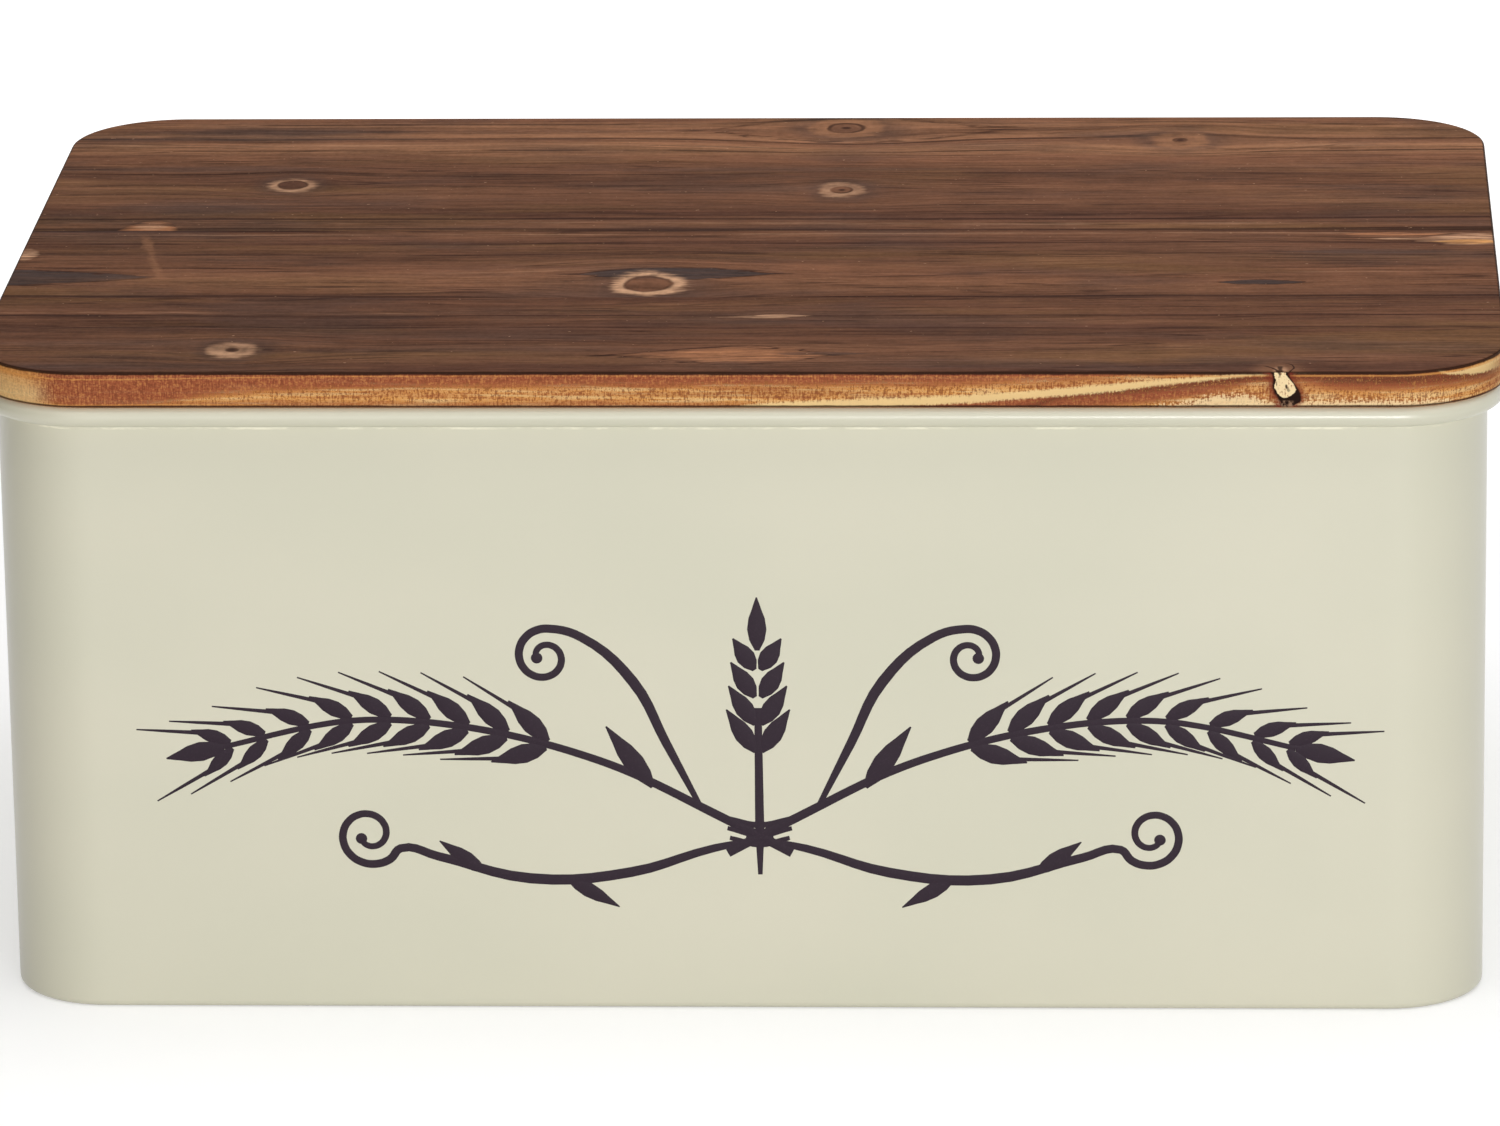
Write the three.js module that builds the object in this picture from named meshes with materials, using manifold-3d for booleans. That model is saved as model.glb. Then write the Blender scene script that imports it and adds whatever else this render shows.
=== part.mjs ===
// Bread box: a wrapped sheet steel body with a curled rim, and a lift-off lid of three
// glued boards on two battens.
// Millimetres, +Z up. The origin is the centre of the footprint, on the surface that the box
// stands on. +X runs along the length, and the front faces -Y.

import * as THREE from 'three';
import { mergeVertices } from 'three/addons/utils/BufferGeometryUtils.js';
import Module from 'manifold-3d';

// Lid panel
const lid_length = 330;
const lid_depth = 220;
const lid_thickness = 8.2;
const lid_corner_radius = 25;
const lid_edge_round = 0.9;
const front_stave_width = 60;
const middle_stave_width = 57;

// Steel body
const overall_height = 145.5;
const sheet = 0.8;
const rim_diameter = 4.6;
const rim_slit = 0.4;
const flange_width = 9;
const foot_bend_radius = 1.6;
const seam_lap_width = 8;
const seam_lap_margin = 1.5;
const seam_joggle_run = 3;

// Pressed bottom panel
const base_rim_height = 7;
const base_bend_radius = 1.4;
const base_margin_spare = 1;
const base_field_rise = 3;
const base_slope_run = 3;
const fit_gap = 0.3;

// Battens under the lid
const batten_width = 24;
const batten_thickness = 10;
const batten_chamfer = 1.5;
const mouth_clearance = 2;

// Wood screws
const screw_length = 14;
const screw_shank_diameter = 3.5;
const screw_head_diameter = 6.8;
const screw_head_rim = 0.5;
const screw_head_cone = 1.7;
const screw_point = 2.2;
const screw_recess = 0.3;
const screw_gap = 0.3;

// Fineness of the curves
const corner_steps = 10;
const rim_steps = 14;
const bend_steps = 4;
const screw_sides = 16;

// Sizes that follow from the ones above
const rim_radius = rim_diameter / 2;
const overhang = rim_diameter - sheet;
const rim_top = overall_height - lid_thickness;
const body_length = lid_length - 2 * overhang;
const body_depth = lid_depth - 2 * overhang;
const body_corner_radius = lid_corner_radius - overhang;
const front_seam_y = -lid_depth / 2 + front_stave_width;
const back_seam_y = front_seam_y + middle_stave_width;

const wasm = await Module();
wasm.setup();

// Materials
const cream_enamel = new THREE.MeshStandardMaterial({ color: 0xdad5c2, roughness: 0.42, metalness: 0 });
const scorched_fir = new THREE.MeshStandardMaterial({ color: 0x694a3b, roughness: 0.55, metalness: 0 });
const plain_fir = new THREE.MeshStandardMaterial({ color: 0xb98a5c, roughness: 0.7, metalness: 0 });
const zinc_steel = new THREE.MeshStandardMaterial({ color: 0xb9bcbe, roughness: 0.35, metalness: 1 });

// The outline of a rounded rectangle as stations: a place on the line and its outward normal.
// Each corner is a quarter circle, and the straight sides need no stations of their own.
function outline_stations(length, depth, radius) {
  const stations = [];
  for (let corner = 0; corner < 4; corner += 1) {
    const start = corner * Math.PI / 2;
    const side_x = corner === 0 || corner === 3 ? 1 : -1;
    const side_y = corner < 2 ? 1 : -1;
    const centre_x = side_x * (length / 2 - radius);
    const centre_y = side_y * (depth / 2 - radius);
    for (let step = 0; step <= corner_steps; step += 1) {
      const angle = start + step / corner_steps * Math.PI / 2;
      const normal_x = Math.cos(angle);
      const normal_y = Math.sin(angle);
      stations.push({
        x: centre_x + radius * normal_x, y: centre_y + radius * normal_y, normal_x, normal_y,
      });
    }
  }
  return stations;
}

// Carries a section round the outline. A section point is [out, z]: how far it lies outside the
// outline, and its height. With closed true the section is a loop and the body is a ring;
// otherwise the first and last rings are closed by flat faces.
// limits holds the body back at straight cuts, such as the glue line of a board.
function swept_body(stations, section, closed, limits = {}) {
  const { low_x = -Infinity, high_x = Infinity, low_y = -Infinity, high_y = Infinity } = limits;
  const places = [];
  for (const [out, z] of section) {
    for (const station of stations) {
      const x = station.x + out * station.normal_x;
      const y = station.y + out * station.normal_y;
      places.push(Math.min(Math.max(x, low_x), high_x), Math.min(Math.max(y, low_y), high_y), z);
    }
  }
  const around = stations.length;
  const faces = [];
  const bands = closed ? section.length : section.length - 1;
  for (let band = 0; band < bands; band += 1) {
    const low = band * around;
    const high = (band + 1) % section.length * around;
    for (let here = 0; here < around; here += 1) {
      const next = (here + 1) % around;
      faces.push(low + here, low + next, high + next);
      faces.push(low + here, high + next, high + here);
    }
  }
  if (!closed) {
    const last = (section.length - 1) * around;
    for (let here = 1; here < around - 1; here += 1) {
      faces.push(0, here + 1, here);
      faces.push(last, last + here, last + here + 1);
    }
  }
  const geometry = new THREE.BufferGeometry();
  geometry.setAttribute('position', new THREE.Float32BufferAttribute(places, 3));
  geometry.setIndex(faces);
  return geometry;
}

// Points of an arc in a section, from one angle to another, in degrees.
function arc_points(centre_out, centre_z, radius, from, to, steps) {
  const points = [];
  for (let step = 0; step <= steps; step += 1) {
    const angle = THREE.MathUtils.degToRad(from + step / steps * (to - from));
    points.push([centre_out + radius * Math.cos(angle), centre_z + radius * Math.sin(angle)]);
  }
  return points;
}

// Joining and cutting of closed bodies
function to_solid(geometry) {
  const plain = geometry.clone();
  plain.deleteAttribute('normal');
  plain.deleteAttribute('uv');
  const merged = mergeVertices(plain);
  return new wasm.Manifold(new wasm.Mesh({
    numProp: 3,
    vertProperties: new Float32Array(merged.attributes.position.array),
    triVerts: new Uint32Array(merged.index.array),
  }));
}

function to_geometry(solid) {
  const mesh = solid.getMesh();
  const geometry = new THREE.BufferGeometry();
  geometry.setAttribute('position', new THREE.BufferAttribute(mesh.vertProperties, 3));
  geometry.setIndex(new THREE.BufferAttribute(mesh.triVerts, 1));
  return geometry;
}

function cut(geometry, cutters) {
  const remove = (solid, cutter) => solid.subtract(to_solid(cutter));
  return to_geometry(cutters.reduce(remove, to_solid(geometry)));
}

function join(geometry, additions) {
  const unite = (solid, addition) => solid.add(to_solid(addition));
  return to_geometry(additions.reduce(unite, to_solid(geometry)));
}

const body_stations = outline_stations(body_length, body_depth, body_corner_radius);
const lid_stations = outline_stations(lid_length, lid_depth, lid_corner_radius);

// The wall: turned in to a flange at the foot, straight up, then curled outward into a bead whose
// lower edge stops just short of the wall, so the curl stays open.
function wall_geometry() {
  const rim_centre_out = rim_radius - sheet;
  const rim_centre_z = rim_top - rim_radius;
  const edge_share = (rim_slit - rim_centre_out) / rim_radius;
  const curl_end = -THREE.MathUtils.radToDeg(Math.acos(edge_share));
  const inner_bend = foot_bend_radius - sheet;
  const section = [
    [-flange_width, 0],
    ...arc_points(-foot_bend_radius, foot_bend_radius, foot_bend_radius, -90, 0, bend_steps),
    ...arc_points(rim_centre_out, rim_centre_z, rim_radius - sheet, 180, curl_end, rim_steps),
    ...arc_points(rim_centre_out, rim_centre_z, rim_radius, curl_end, 180, rim_steps),
    ...arc_points(-foot_bend_radius, foot_bend_radius, inner_bend, 0, -90, bend_steps),
    [-flange_width, sheet],
  ];
  return swept_body(body_stations, section, true);
}

// The lap at the back, where one end of the wrapped sheet is welded over the other. The outer end
// is joggled: it slopes out by one sheet, lies on the inner end, and stops at its cut edge.
function seam_lap_geometry() {
  const low = foot_bend_radius + seam_lap_margin;
  const high = rim_top - rim_diameter - seam_lap_margin;
  const half_width = seam_lap_width / 2;
  const half_sheet = sheet / 2;
  const slope = seam_joggle_run / sheet;
  const lap = new THREE.Shape();
  lap.moveTo(-half_width - slope * (sheet + half_sheet), -half_sheet);
  lap.lineTo(half_width, -half_sheet);
  lap.lineTo(half_width, sheet);
  lap.lineTo(-half_width, sheet);
  const geometry = new THREE.ExtrudeGeometry(lap, { depth: high - low, bevelEnabled: false });
  geometry.translate(0, body_depth / 2, low);
  return geometry;
}

// The bottom panel: a raised field, a slope down to the margin that lies on the wall's flange,
// and a rim turned up against the wall.
function base_geometry() {
  const outer = -sheet - fit_gap;
  const margin_in = -flange_width - base_margin_spare;
  const field_in = margin_in - base_slope_run;
  const inner_bend = base_bend_radius - sheet;
  const low = sheet;
  const bend_centre = outer - base_bend_radius;
  const section = [
    [field_in, low + base_field_rise],
    [margin_in, low],
    ...arc_points(bend_centre, low + base_bend_radius, base_bend_radius, -90, 0, bend_steps),
    [outer, low + base_rim_height],
    [outer - sheet, low + base_rim_height],
    ...arc_points(bend_centre, low + base_bend_radius, inner_bend, 0, -90, bend_steps),
    [margin_in, low + sheet],
    [field_in, low + base_field_rise + sheet],
  ];
  return swept_body(body_stations, section, false);
}

// A board of the lid: the part of the rounded panel between two glue lines, with its upper and
// lower outer edges eased.
function stave_geometry(low_y, high_y, pilots) {
  const eased = (centre_z, from, to) => (
    arc_points(-lid_edge_round, centre_z, lid_edge_round, from, to, bend_steps));
  const section = [
    ...eased(rim_top + lid_edge_round, -90, 0),
    ...eased(overall_height - lid_edge_round, 0, 90),
  ];
  const board = swept_body(lid_stations, section, false, { low_y, high_y });
  return cut(board, pilots);
}

// A batten: a strip of the mouth's own outline, so its outer corners follow the corners of the
// box, with its lower edges chamfered.
function batten_geometry(side, holes) {
  const out = -sheet - mouth_clearance;
  const outer_x = body_length / 2 + out;
  const inner_x = outer_x - batten_width;
  const low = rim_top - batten_thickness;
  const limits = side > 0 ? { low_x: inner_x } : { high_x: -inner_x };
  const section = [[out - batten_chamfer, low], [out, low + batten_chamfer], [out, rim_top]];
  return cut(swept_body(body_stations, section, false, limits), holes);
}

// A countersunk wood screw, point up, as a revolved outline of [radius, height].
// grow widens it on every side, which gives the hole that it sits in.
function screw_geometry(grow) {
  const shank = screw_shank_diameter / 2 + grow;
  const head = screw_head_diameter / 2 + grow;
  const cone_end = screw_head_rim + screw_head_cone;
  const outline = [
    [0, -grow],
    [head, -grow],
    [head, screw_head_rim],
    [shank, cone_end],
    [shank, screw_length - screw_point],
    [0, screw_length + grow],
  ];
  const geometry = new THREE.LatheGeometry(outline.map(([r, z]) => new THREE.Vector2(r, z)), screw_sides);
  geometry.rotateX(Math.PI / 2);
  return geometry;
}

// One screw from each batten into the middle of each board
const batten_centre_x = body_length / 2 - sheet - mouth_clearance - batten_width / 2;
const screw_foot_z = rim_top - batten_thickness + screw_recess;
const staves = [
  { name: 'front', low_y: -lid_depth / 2, high_y: front_seam_y },
  { name: 'middle', low_y: front_seam_y, high_y: back_seam_y },
  { name: 'back', low_y: back_seam_y, high_y: lid_depth / 2 },
];
const sides = [{ name: 'left', side: -1 }, { name: 'right', side: 1 }];
const screws = [];
for (const { name: side_name, side } of sides) {
  for (const { name: stave_name, low_y, high_y } of staves) {
    screws.push({ side_name, stave_name, x: side * batten_centre_x, y: (low_y + high_y) / 2 });
  }
}

function screw_hole(screw) {
  const hole = screw_geometry(screw_gap);
  hole.translate(screw.x, screw.y, screw_foot_z);
  return hole;
}

const bread_box = new THREE.Group();

function add_piece(parent, name, geometry, material) {
  const mesh = new THREE.Mesh(geometry, material.clone());
  mesh.name = name;
  parent.add(mesh);
  return mesh;
}

const body = new THREE.Group();
bread_box.add(body);
add_piece(body, 'body_wall', join(wall_geometry(), [seam_lap_geometry()]), cream_enamel);
add_piece(body, 'base_panel', base_geometry(), cream_enamel);

const lid = new THREE.Group();
bread_box.add(lid);
for (const { name, low_y, high_y } of staves) {
  const pilots = screws.filter((screw) => screw.stave_name === name).map(screw_hole);
  add_piece(lid, `lid_stave_${name}`, stave_geometry(low_y, high_y, pilots), scorched_fir);
}
for (const { name, side } of sides) {
  const holes = screws.filter((screw) => screw.side_name === name).map(screw_hole);
  add_piece(lid, `lid_batten_${name}`, batten_geometry(side, holes), plain_fir);
}
for (const screw of screws) {
  const name = `lid_screw_${screw.side_name}_${screw.stave_name}`;
  const piece = add_piece(lid, name, screw_geometry(0), zinc_steel);
  piece.position.set(screw.x, screw.y, screw_foot_z);
}

export default bread_box;
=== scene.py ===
"""Dresses the bread box: a curled sheet steel box in cream enamel and a lid of scorched boards.

Lengths are in metres and in the frame's axes. The figure of the wood is placed in millimetres.
"""
import math

import bpy
from bpy.props import FloatProperty, FloatVectorProperty
from mathutils import Matrix, Vector


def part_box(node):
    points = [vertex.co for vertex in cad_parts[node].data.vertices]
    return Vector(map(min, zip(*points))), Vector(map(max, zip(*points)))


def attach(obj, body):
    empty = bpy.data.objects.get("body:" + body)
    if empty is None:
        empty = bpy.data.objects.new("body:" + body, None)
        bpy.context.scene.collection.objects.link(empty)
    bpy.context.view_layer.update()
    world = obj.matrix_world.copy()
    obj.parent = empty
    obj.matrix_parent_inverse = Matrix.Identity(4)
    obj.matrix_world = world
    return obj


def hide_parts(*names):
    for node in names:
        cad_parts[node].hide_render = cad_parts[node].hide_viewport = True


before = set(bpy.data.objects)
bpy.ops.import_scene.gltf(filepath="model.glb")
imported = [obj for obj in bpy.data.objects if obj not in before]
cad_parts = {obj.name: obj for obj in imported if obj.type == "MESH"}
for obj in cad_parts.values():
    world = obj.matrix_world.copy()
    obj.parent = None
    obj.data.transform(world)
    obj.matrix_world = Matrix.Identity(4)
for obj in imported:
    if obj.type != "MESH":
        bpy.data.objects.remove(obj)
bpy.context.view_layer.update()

bl_info = {
    "name": "Bread Box",
    "version": (1, 0, 0),
    "blender": (4, 5, 0),
    "location": "View3D > Sidebar > Bread Box",
    "description": "Builds the bread box, its lid and its studio, piece by piece",
    "category": "Add Mesh",
}

MM = 0.001
wall_low, wall_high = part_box("body_wall")
front_low, front_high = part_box("lid_stave_front")
middle_low, middle_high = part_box("lid_stave_middle")
back_low, back_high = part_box("lid_stave_back")
batten_low, batten_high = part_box("lid_batten_right")
LID_FOOT = front_low.z / MM
LID_TOP = front_high.z / MM
LID_FRONT = front_low.y / MM
LID_END = front_high.x / MM
WHITE = (1.0, 1.0, 1.0, 1.0)


def tint(red, green, blue):
    """A colour as it is seen on a screen, 0 to 255, as Blender's linear values."""
    shares = [value / 255 for value in (red, green, blue)]
    return tuple(s / 12.92 if s <= 0.04045 else ((s + 0.055) / 1.055) ** 2.4 for s in shares)


def length(name, description, value):
    """A length property, given in millimetres."""
    return FloatProperty(name=name, description=description, default=value * MM,
                         unit="LENGTH", subtype="DISTANCE")


def colour(name, description, value):
    """A colour property."""
    return FloatVectorProperty(name=name, description=description, default=value,
                               size=3, subtype="COLOR", min=0.0, max=1.0)


# Settings a user would change

class BREADBOX_PG_body(bpy.types.PropertyGroup):
    """Sizes of the sheet steel box"""
    sheet: length("Sheet", "Thickness of the steel sheet with its coat", 0.8)
    corner: length("Corner radius", "Radius of the box's upright corners", 21.2)
    curl: length("Curl", "Outer diameter of the curled rim", 4.6)
    slit: length("Curl slit", "Gap between the curl's edge and the wall", 0.4)
    flange: length("Flange", "Width of the flange turned in at the foot", 9.0)
    foot_bend: length("Foot bend", "Outer radius of the bend at the foot", 1.6)
    lap: length("Lap", "Width of the welded lap at the back", 8.0)
    joggle: length("Joggle", "Run over which the lap's outer end steps out by one sheet", 3.0)
    weld: length("Weld spot", "Diameter of a spot weld's dimple", 4.4)
    coat_fillet: length("Coat fillet", "Radius of the enamel that bridges the curl's slit", 0.5)


class BREADBOX_PG_panel(bpy.types.PropertyGroup):
    """Sizes of the bottom panel"""
    rim: length("Rim", "Height of the rim turned up against the wall", 7.0)
    bend: length("Bend", "Outer radius of the bend under the rim", 1.4)
    gap: length("Gap", "Gap between the rim and the wall", 0.3)
    margin: length("Margin", "Width of the level margin that lies on the flange", 8.9)
    rise: length("Rise", "Height of the raised field above the margin", 3.0)


class BREADBOX_PG_lid(bpy.types.PropertyGroup):
    """Sizes of the lid"""
    corner: length("Corner radius", "Radius of the lid's corners", 25.0)
    arris: length("Eased edge", "Radius of the lid's upper and lower edges", 0.9)
    joint: length("Glue joint", "Easing of the boards' edges along a glue joint", 0.16)
    chamfer: length("Batten edge", "Easing of a batten's lower edges", 1.5)
    head: length("Screw head", "Diameter of a screw's head", 6.8)
    shank: length("Shank", "Diameter of a screw's shank", 3.5)
    play: length("Screw play", "Room round a screw in its hole", 0.3)


class BREADBOX_PG_finish(bpy.types.PropertyGroup):
    """Colours of the finishes"""
    enamel: colour("Enamel", "Cream enamel of the box", tint(215, 211, 190))
    paint: colour("Paint", "Aubergine paint of the ornament", tint(46, 34, 44))
    seam: colour("Seam", "Darkest lines of the scorched wood", tint(56, 35, 27))
    dark: colour("Dark", "Dark bands of the scorched wood", tint(94, 62, 48))
    umber: colour("Umber", "Brown between the dark bands and the middle tone", tint(103, 69, 52))
    middle: colour("Middle", "Middle tone of the scorched wood", tint(112, 76, 57))
    warm: colour("Warm", "Warm bands of the scorched wood", tint(127, 86, 64))
    tan: colour("Tan", "Lightest bands of the scorched wood", tint(150, 106, 78))
    olive: colour("Olive", "Yellowish patches of the scorched wood", tint(120, 86, 58))
    smoke: colour("Smoke", "Grey of the heavily scorched patches", tint(72, 58, 54))
    ochre: colour("Ochre", "Flicks that the flame has hardly touched", tint(188, 128, 90))
    ring: colour("Knot ring", "Pale ring round a knot", tint(208, 162, 128))
    gold: colour("Gold", "Bare golden wood of the edge", tint(216, 150, 80))
    rust: colour("Rust", "Reddish scorch on the edge", tint(156, 84, 57))
    straw: colour("Straw", "Palest wood of the edge", tint(240, 206, 146))
    bone: colour("Bone", "Palest wood, at the foot of the edge and in its knot", tint(246, 220, 172))
    fir: colour("Fir", "Bare wood under the lid", tint(186, 140, 94))
    zinc: colour("Zinc", "Bright zinc of the screws", tint(196, 198, 202))


class BREADBOX_PG_stage(bpy.types.PropertyGroup):
    """Camera and light of the studio"""
    lens: FloatProperty(name="Lens", description="Focal length on a 36 mm wide sensor",
                        default=221.4, unit="CAMERA")
    azimuth: FloatProperty(name="Azimuth", description="Turn of the camera from straight in front",
                           default=math.radians(3.05), unit="ROTATION", subtype="ANGLE")
    elevation: FloatProperty(name="Elevation", description="How far the camera looks down",
                             default=math.radians(17.02), unit="ROTATION", subtype="ANGLE")
    roll: FloatProperty(name="Roll", description="Tilt of the camera about its view",
                        default=math.radians(-0.862), unit="ROTATION", subtype="ANGLE")
    distance: length("Distance", "From the camera to the point it looks at", 2094.0)
    target: FloatVectorProperty(name="Target", description="Point the camera looks at",
                                default=(-0.0029, 0.0, 0.0692), size=3, subtype="TRANSLATION")
    ambient: FloatProperty(name="Ambient", description="Strength of the light from all round",
                           default=0.31, min=0.0)
    floor: length("Floor", "Side of the square floor", 14000.0)


GROUPS = {
    "breadbox_body": BREADBOX_PG_body,
    "breadbox_panel": BREADBOX_PG_panel,
    "breadbox_lid": BREADBOX_PG_lid,
    "breadbox_finish": BREADBOX_PG_finish,
    "breadbox_stage": BREADBOX_PG_stage,
}


# Modelling by hand

# Steps round a corner and round an eased edge, and the narrow strip beside a bend that holds its shading
CORNER_STEPS = 24
EASE_STEPS = 4
HOLD = MM


def rest_selection():
    """Leaves edit mode and deselects everything."""
    if bpy.context.object and bpy.context.object.mode != "OBJECT":
        bpy.ops.object.mode_set(mode="OBJECT")
    bpy.ops.object.select_all(action="DESELECT")


def only(piece):
    """Makes piece the one selected and active object."""
    rest_selection()
    piece.select_set(True)
    bpy.context.view_layer.objects.active = piece


def named(name):
    """Names the new active object and puts its place into its mesh."""
    piece = bpy.context.object
    piece.name = name
    piece.data.name = name
    bpy.ops.object.transform_apply(location=True, rotation=True, scale=True)
    return piece


def add_block(name, low, high):
    """A block between two corners, to be shaped further."""
    rest_selection()
    low, high = Vector(low), Vector(high)
    bpy.ops.mesh.primitive_cube_add(size=1.0, location=(low + high) / 2, scale=high - low)
    return named(name)


def add_dot(name, place):
    """One vertex in edit mode, from which a section is drawn."""
    rest_selection()
    bpy.ops.mesh.primitive_plane_add(size=MM, location=place)
    piece = named(name)
    bpy.ops.object.mode_set(mode="EDIT")
    bpy.ops.mesh.select_mode(type="VERT")
    bpy.ops.mesh.select_all(action="SELECT")
    bpy.ops.mesh.merge(type="CENTER")
    return piece


def draw(*steps):
    """Extrudes what is selected straight on, once for each step."""
    for step in steps:
        bpy.ops.mesh.extrude_region_move(TRANSFORM_OT_translate={"value": step})


def turn(degrees, centre, axis, steps):
    """Extrudes what is selected round a centre, by the right hand about the axis."""
    bpy.ops.mesh.spin(steps=steps, angle=-math.radians(degrees), center=centre, axis=axis)


def pick(piece, kind, test):
    """In edit mode, selects only the vertices, edges or faces whose corners all pass the test."""
    bpy.ops.object.mode_set(mode="EDIT")
    bpy.ops.mesh.select_mode(type=kind)
    bpy.ops.mesh.select_all(action="DESELECT")
    bpy.ops.object.mode_set(mode="OBJECT")
    mesh = piece.data
    if kind == "VERT":
        for vertex in mesh.vertices:
            vertex.select = test([vertex.co])
    else:
        for part in mesh.edges if kind == "EDGE" else mesh.polygons:
            part.select = test([mesh.vertices[index].co for index in part.vertices])
    bpy.ops.object.mode_set(mode="EDIT")


def near(value, wanted, slack=0.02 * MM):
    """Whether two lengths are the same but for rounding."""
    return abs(value - wanted) < slack


def lie_at(ends, **levels):
    """Whether all the points lie at these levels on their axes."""
    return all(near(getattr(point, axis), level) for point in ends for axis, level in levels.items())


def upright(ends):
    """Whether an edge stands on end."""
    return not near(ends[0].z, ends[1].z)


def select_all():
    """Enters edit mode with everything selected."""
    bpy.ops.object.mode_set(mode="EDIT")
    bpy.ops.mesh.select_all(action="SELECT")


def bevel(width, segments):
    """Rounds the selected edges."""
    bpy.ops.mesh.bevel(offset=width, segments=segments, affect="EDGES")


def clean(piece):
    """Merges doubled vertices and turns the faces one way."""
    select_all()
    bpy.ops.mesh.remove_doubles(threshold=0.004 * MM)
    bpy.ops.mesh.normals_make_consistent(inside=False)
    bpy.ops.object.mode_set(mode="OBJECT")
    return piece


def modify(piece, kind, **settings):
    """Adds a modifier and applies it."""
    only(piece)
    modifier = piece.modifiers.new(kind.title(), kind)
    for key, value in settings.items():
        setattr(modifier, key, value)
    bpy.ops.object.modifier_apply(modifier=modifier.name)


def carve(piece, cutters):
    """Cuts each cutter out of the piece, and removes the cutters."""
    for cutter in cutters:
        modify(piece, "BOOLEAN", object=cutter, operation="DIFFERENCE", solver="EXACT")
    for cutter in cutters:
        bpy.data.objects.remove(cutter)


def twin(piece, name, move=(0, 0, 0)):
    """A copy with its own mesh, moved from the first."""
    only(piece)
    bpy.ops.object.duplicate(linked=False)
    copy = bpy.context.object
    copy.location = move
    return named(name)


def smooth(piece, degrees=35):
    """Smooth shading that keeps flat faces flat."""
    only(piece)
    bpy.ops.object.shade_smooth_by_angle(angle=math.radians(degrees))
    modify(piece, "WEIGHTED_NORMAL", mode="FACE_AREA", weight=100, keep_sharp=True)


def wall_halves(body):
    """Half the length and half the depth of the wall, outside and below its curl."""
    over = body.curl - body.sheet
    return wall_high.x - over, -wall_low.y - over


def sweep_round(half_x, half_y, radius):
    """Carries a section drawn at the middle of the front round a rounded rectangle."""
    bpy.ops.mesh.select_all(action="SELECT")
    run_x, run_y = half_x - radius, half_y - radius
    draw((run_x - HOLD, 0, 0), (HOLD, 0, 0))
    runs = [(1, -1, (0, 1), 2 * run_y), (1, 1, (-1, 0), 2 * run_x),
            (-1, 1, (0, -1), 2 * run_y), (-1, -1, (1, 0), run_x)]
    for side_x, side_y, (ahead_x, ahead_y), run in runs:
        turn(90, (side_x * run_x, side_y * run_y, 0), (0, 0, 1), CORNER_STEPS)
        last = side_x < 0 and side_y < 0
        strides = [HOLD, run - HOLD] if last else [HOLD, run - 2 * HOLD, HOLD]
        draw(*[(ahead_x * stride, ahead_y * stride, 0) for stride in strides])


# Nodes

class Wave:
    """A socket's value over the surface. Sums and products with it are Math nodes."""

    def __init__(self, socket):
        self.socket = socket

    def __add__(self, other):
        return calc("ADD", self, other)

    def __radd__(self, other):
        return calc("ADD", other, self)

    def __sub__(self, other):
        return calc("SUBTRACT", self, other)

    def __rsub__(self, other):
        return calc("SUBTRACT", other, self)

    def __mul__(self, other):
        return calc("MULTIPLY", self, other)

    def __truediv__(self, other):
        return calc("DIVIDE", self, other)

    def __pow__(self, other):
        return calc("POWER", self, other)

    def __abs__(self):
        return calc("ABSOLUTE", self)


def link(value, entry):
    """Gives a socket its value: a wave is linked, a constant is set."""
    if isinstance(value, Wave):
        entry.id_data.links.new(value.socket, entry)
    else:
        entry.default_value = value


def put(kind, values=(), tree=None, **settings):
    """Adds a node with its settings and values. Without a tree, it goes where its waves are."""
    values = values if isinstance(values, dict) else dict(enumerate(values))
    if tree is None:
        tree = next(value.socket.id_data for value in values.values() if isinstance(value, Wave))
    made = tree.nodes.new(kind)
    for key, value in settings.items():
        setattr(made, key, value)
    for key, value in values.items():
        link(value, made.inputs[key])
    return made


def out(kind, values=(), name=0, **settings):
    """An output of a new node."""
    return Wave(put(kind, values, **settings).outputs[name])


def waves(sockets):
    """Outputs by name."""
    return {socket.name: Wave(socket) for socket in sockets}


def calc(operation, *values, clamp=False):
    """The result of a Math node."""
    return out("ShaderNodeMath", values, operation=operation, use_clamp=clamp)


def radius_of(x, y):
    """The distance of x and y from 0."""
    return calc("SQRT", x * x + y * y)


def past(value, edge):
    """How far a value lies beyond an edge on either side, or 0."""
    return calc("MAXIMUM", abs(value) - edge, 0.0)


def fade(value, empty, full):
    """A mask that runs smoothly from 0 at empty to 1 at full."""
    values = {"Value": value, "From Min": empty, "From Max": full}
    return out("ShaderNodeMapRange", values, interpolation_type="SMOOTHSTEP")


def mix(share, base, over, mode="MIX"):
    """One colour laid over another."""
    values = {0: share, 6: opaque(base), 7: opaque(over)}
    return out("ShaderNodeMix", values, 2, data_type="RGBA", blend_type=mode)


def lay(shade, *coats):
    """Lays coats over a colour one after the other. Each is a mask and a colour."""
    for mask, tone in coats:
        shade = mix(mask, shade, tone)
    return shade


def opaque(value):
    """A constant colour gets its alpha; a wave stays as it is."""
    return value if isinstance(value, Wave) else (*value[:3], 1.0)


def parts(place):
    """The x, y and z of a place."""
    return [Wave(socket) for socket in put("ShaderNodeSeparateXYZ", [place]).outputs]


def at(x=0.0, y=0.0, z=0.0):
    """A place made of x, y and z."""
    return out("ShaderNodeCombineXYZ", [x, y, z])


def millimetres(shader):
    """The place on the piece in millimetres."""
    where = out("ShaderNodeTexCoord", name="Object", tree=shader.id_data)
    return out("ShaderNodeVectorMath", {0: where, "Scale": 1 / MM}, operation="SCALE")


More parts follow.
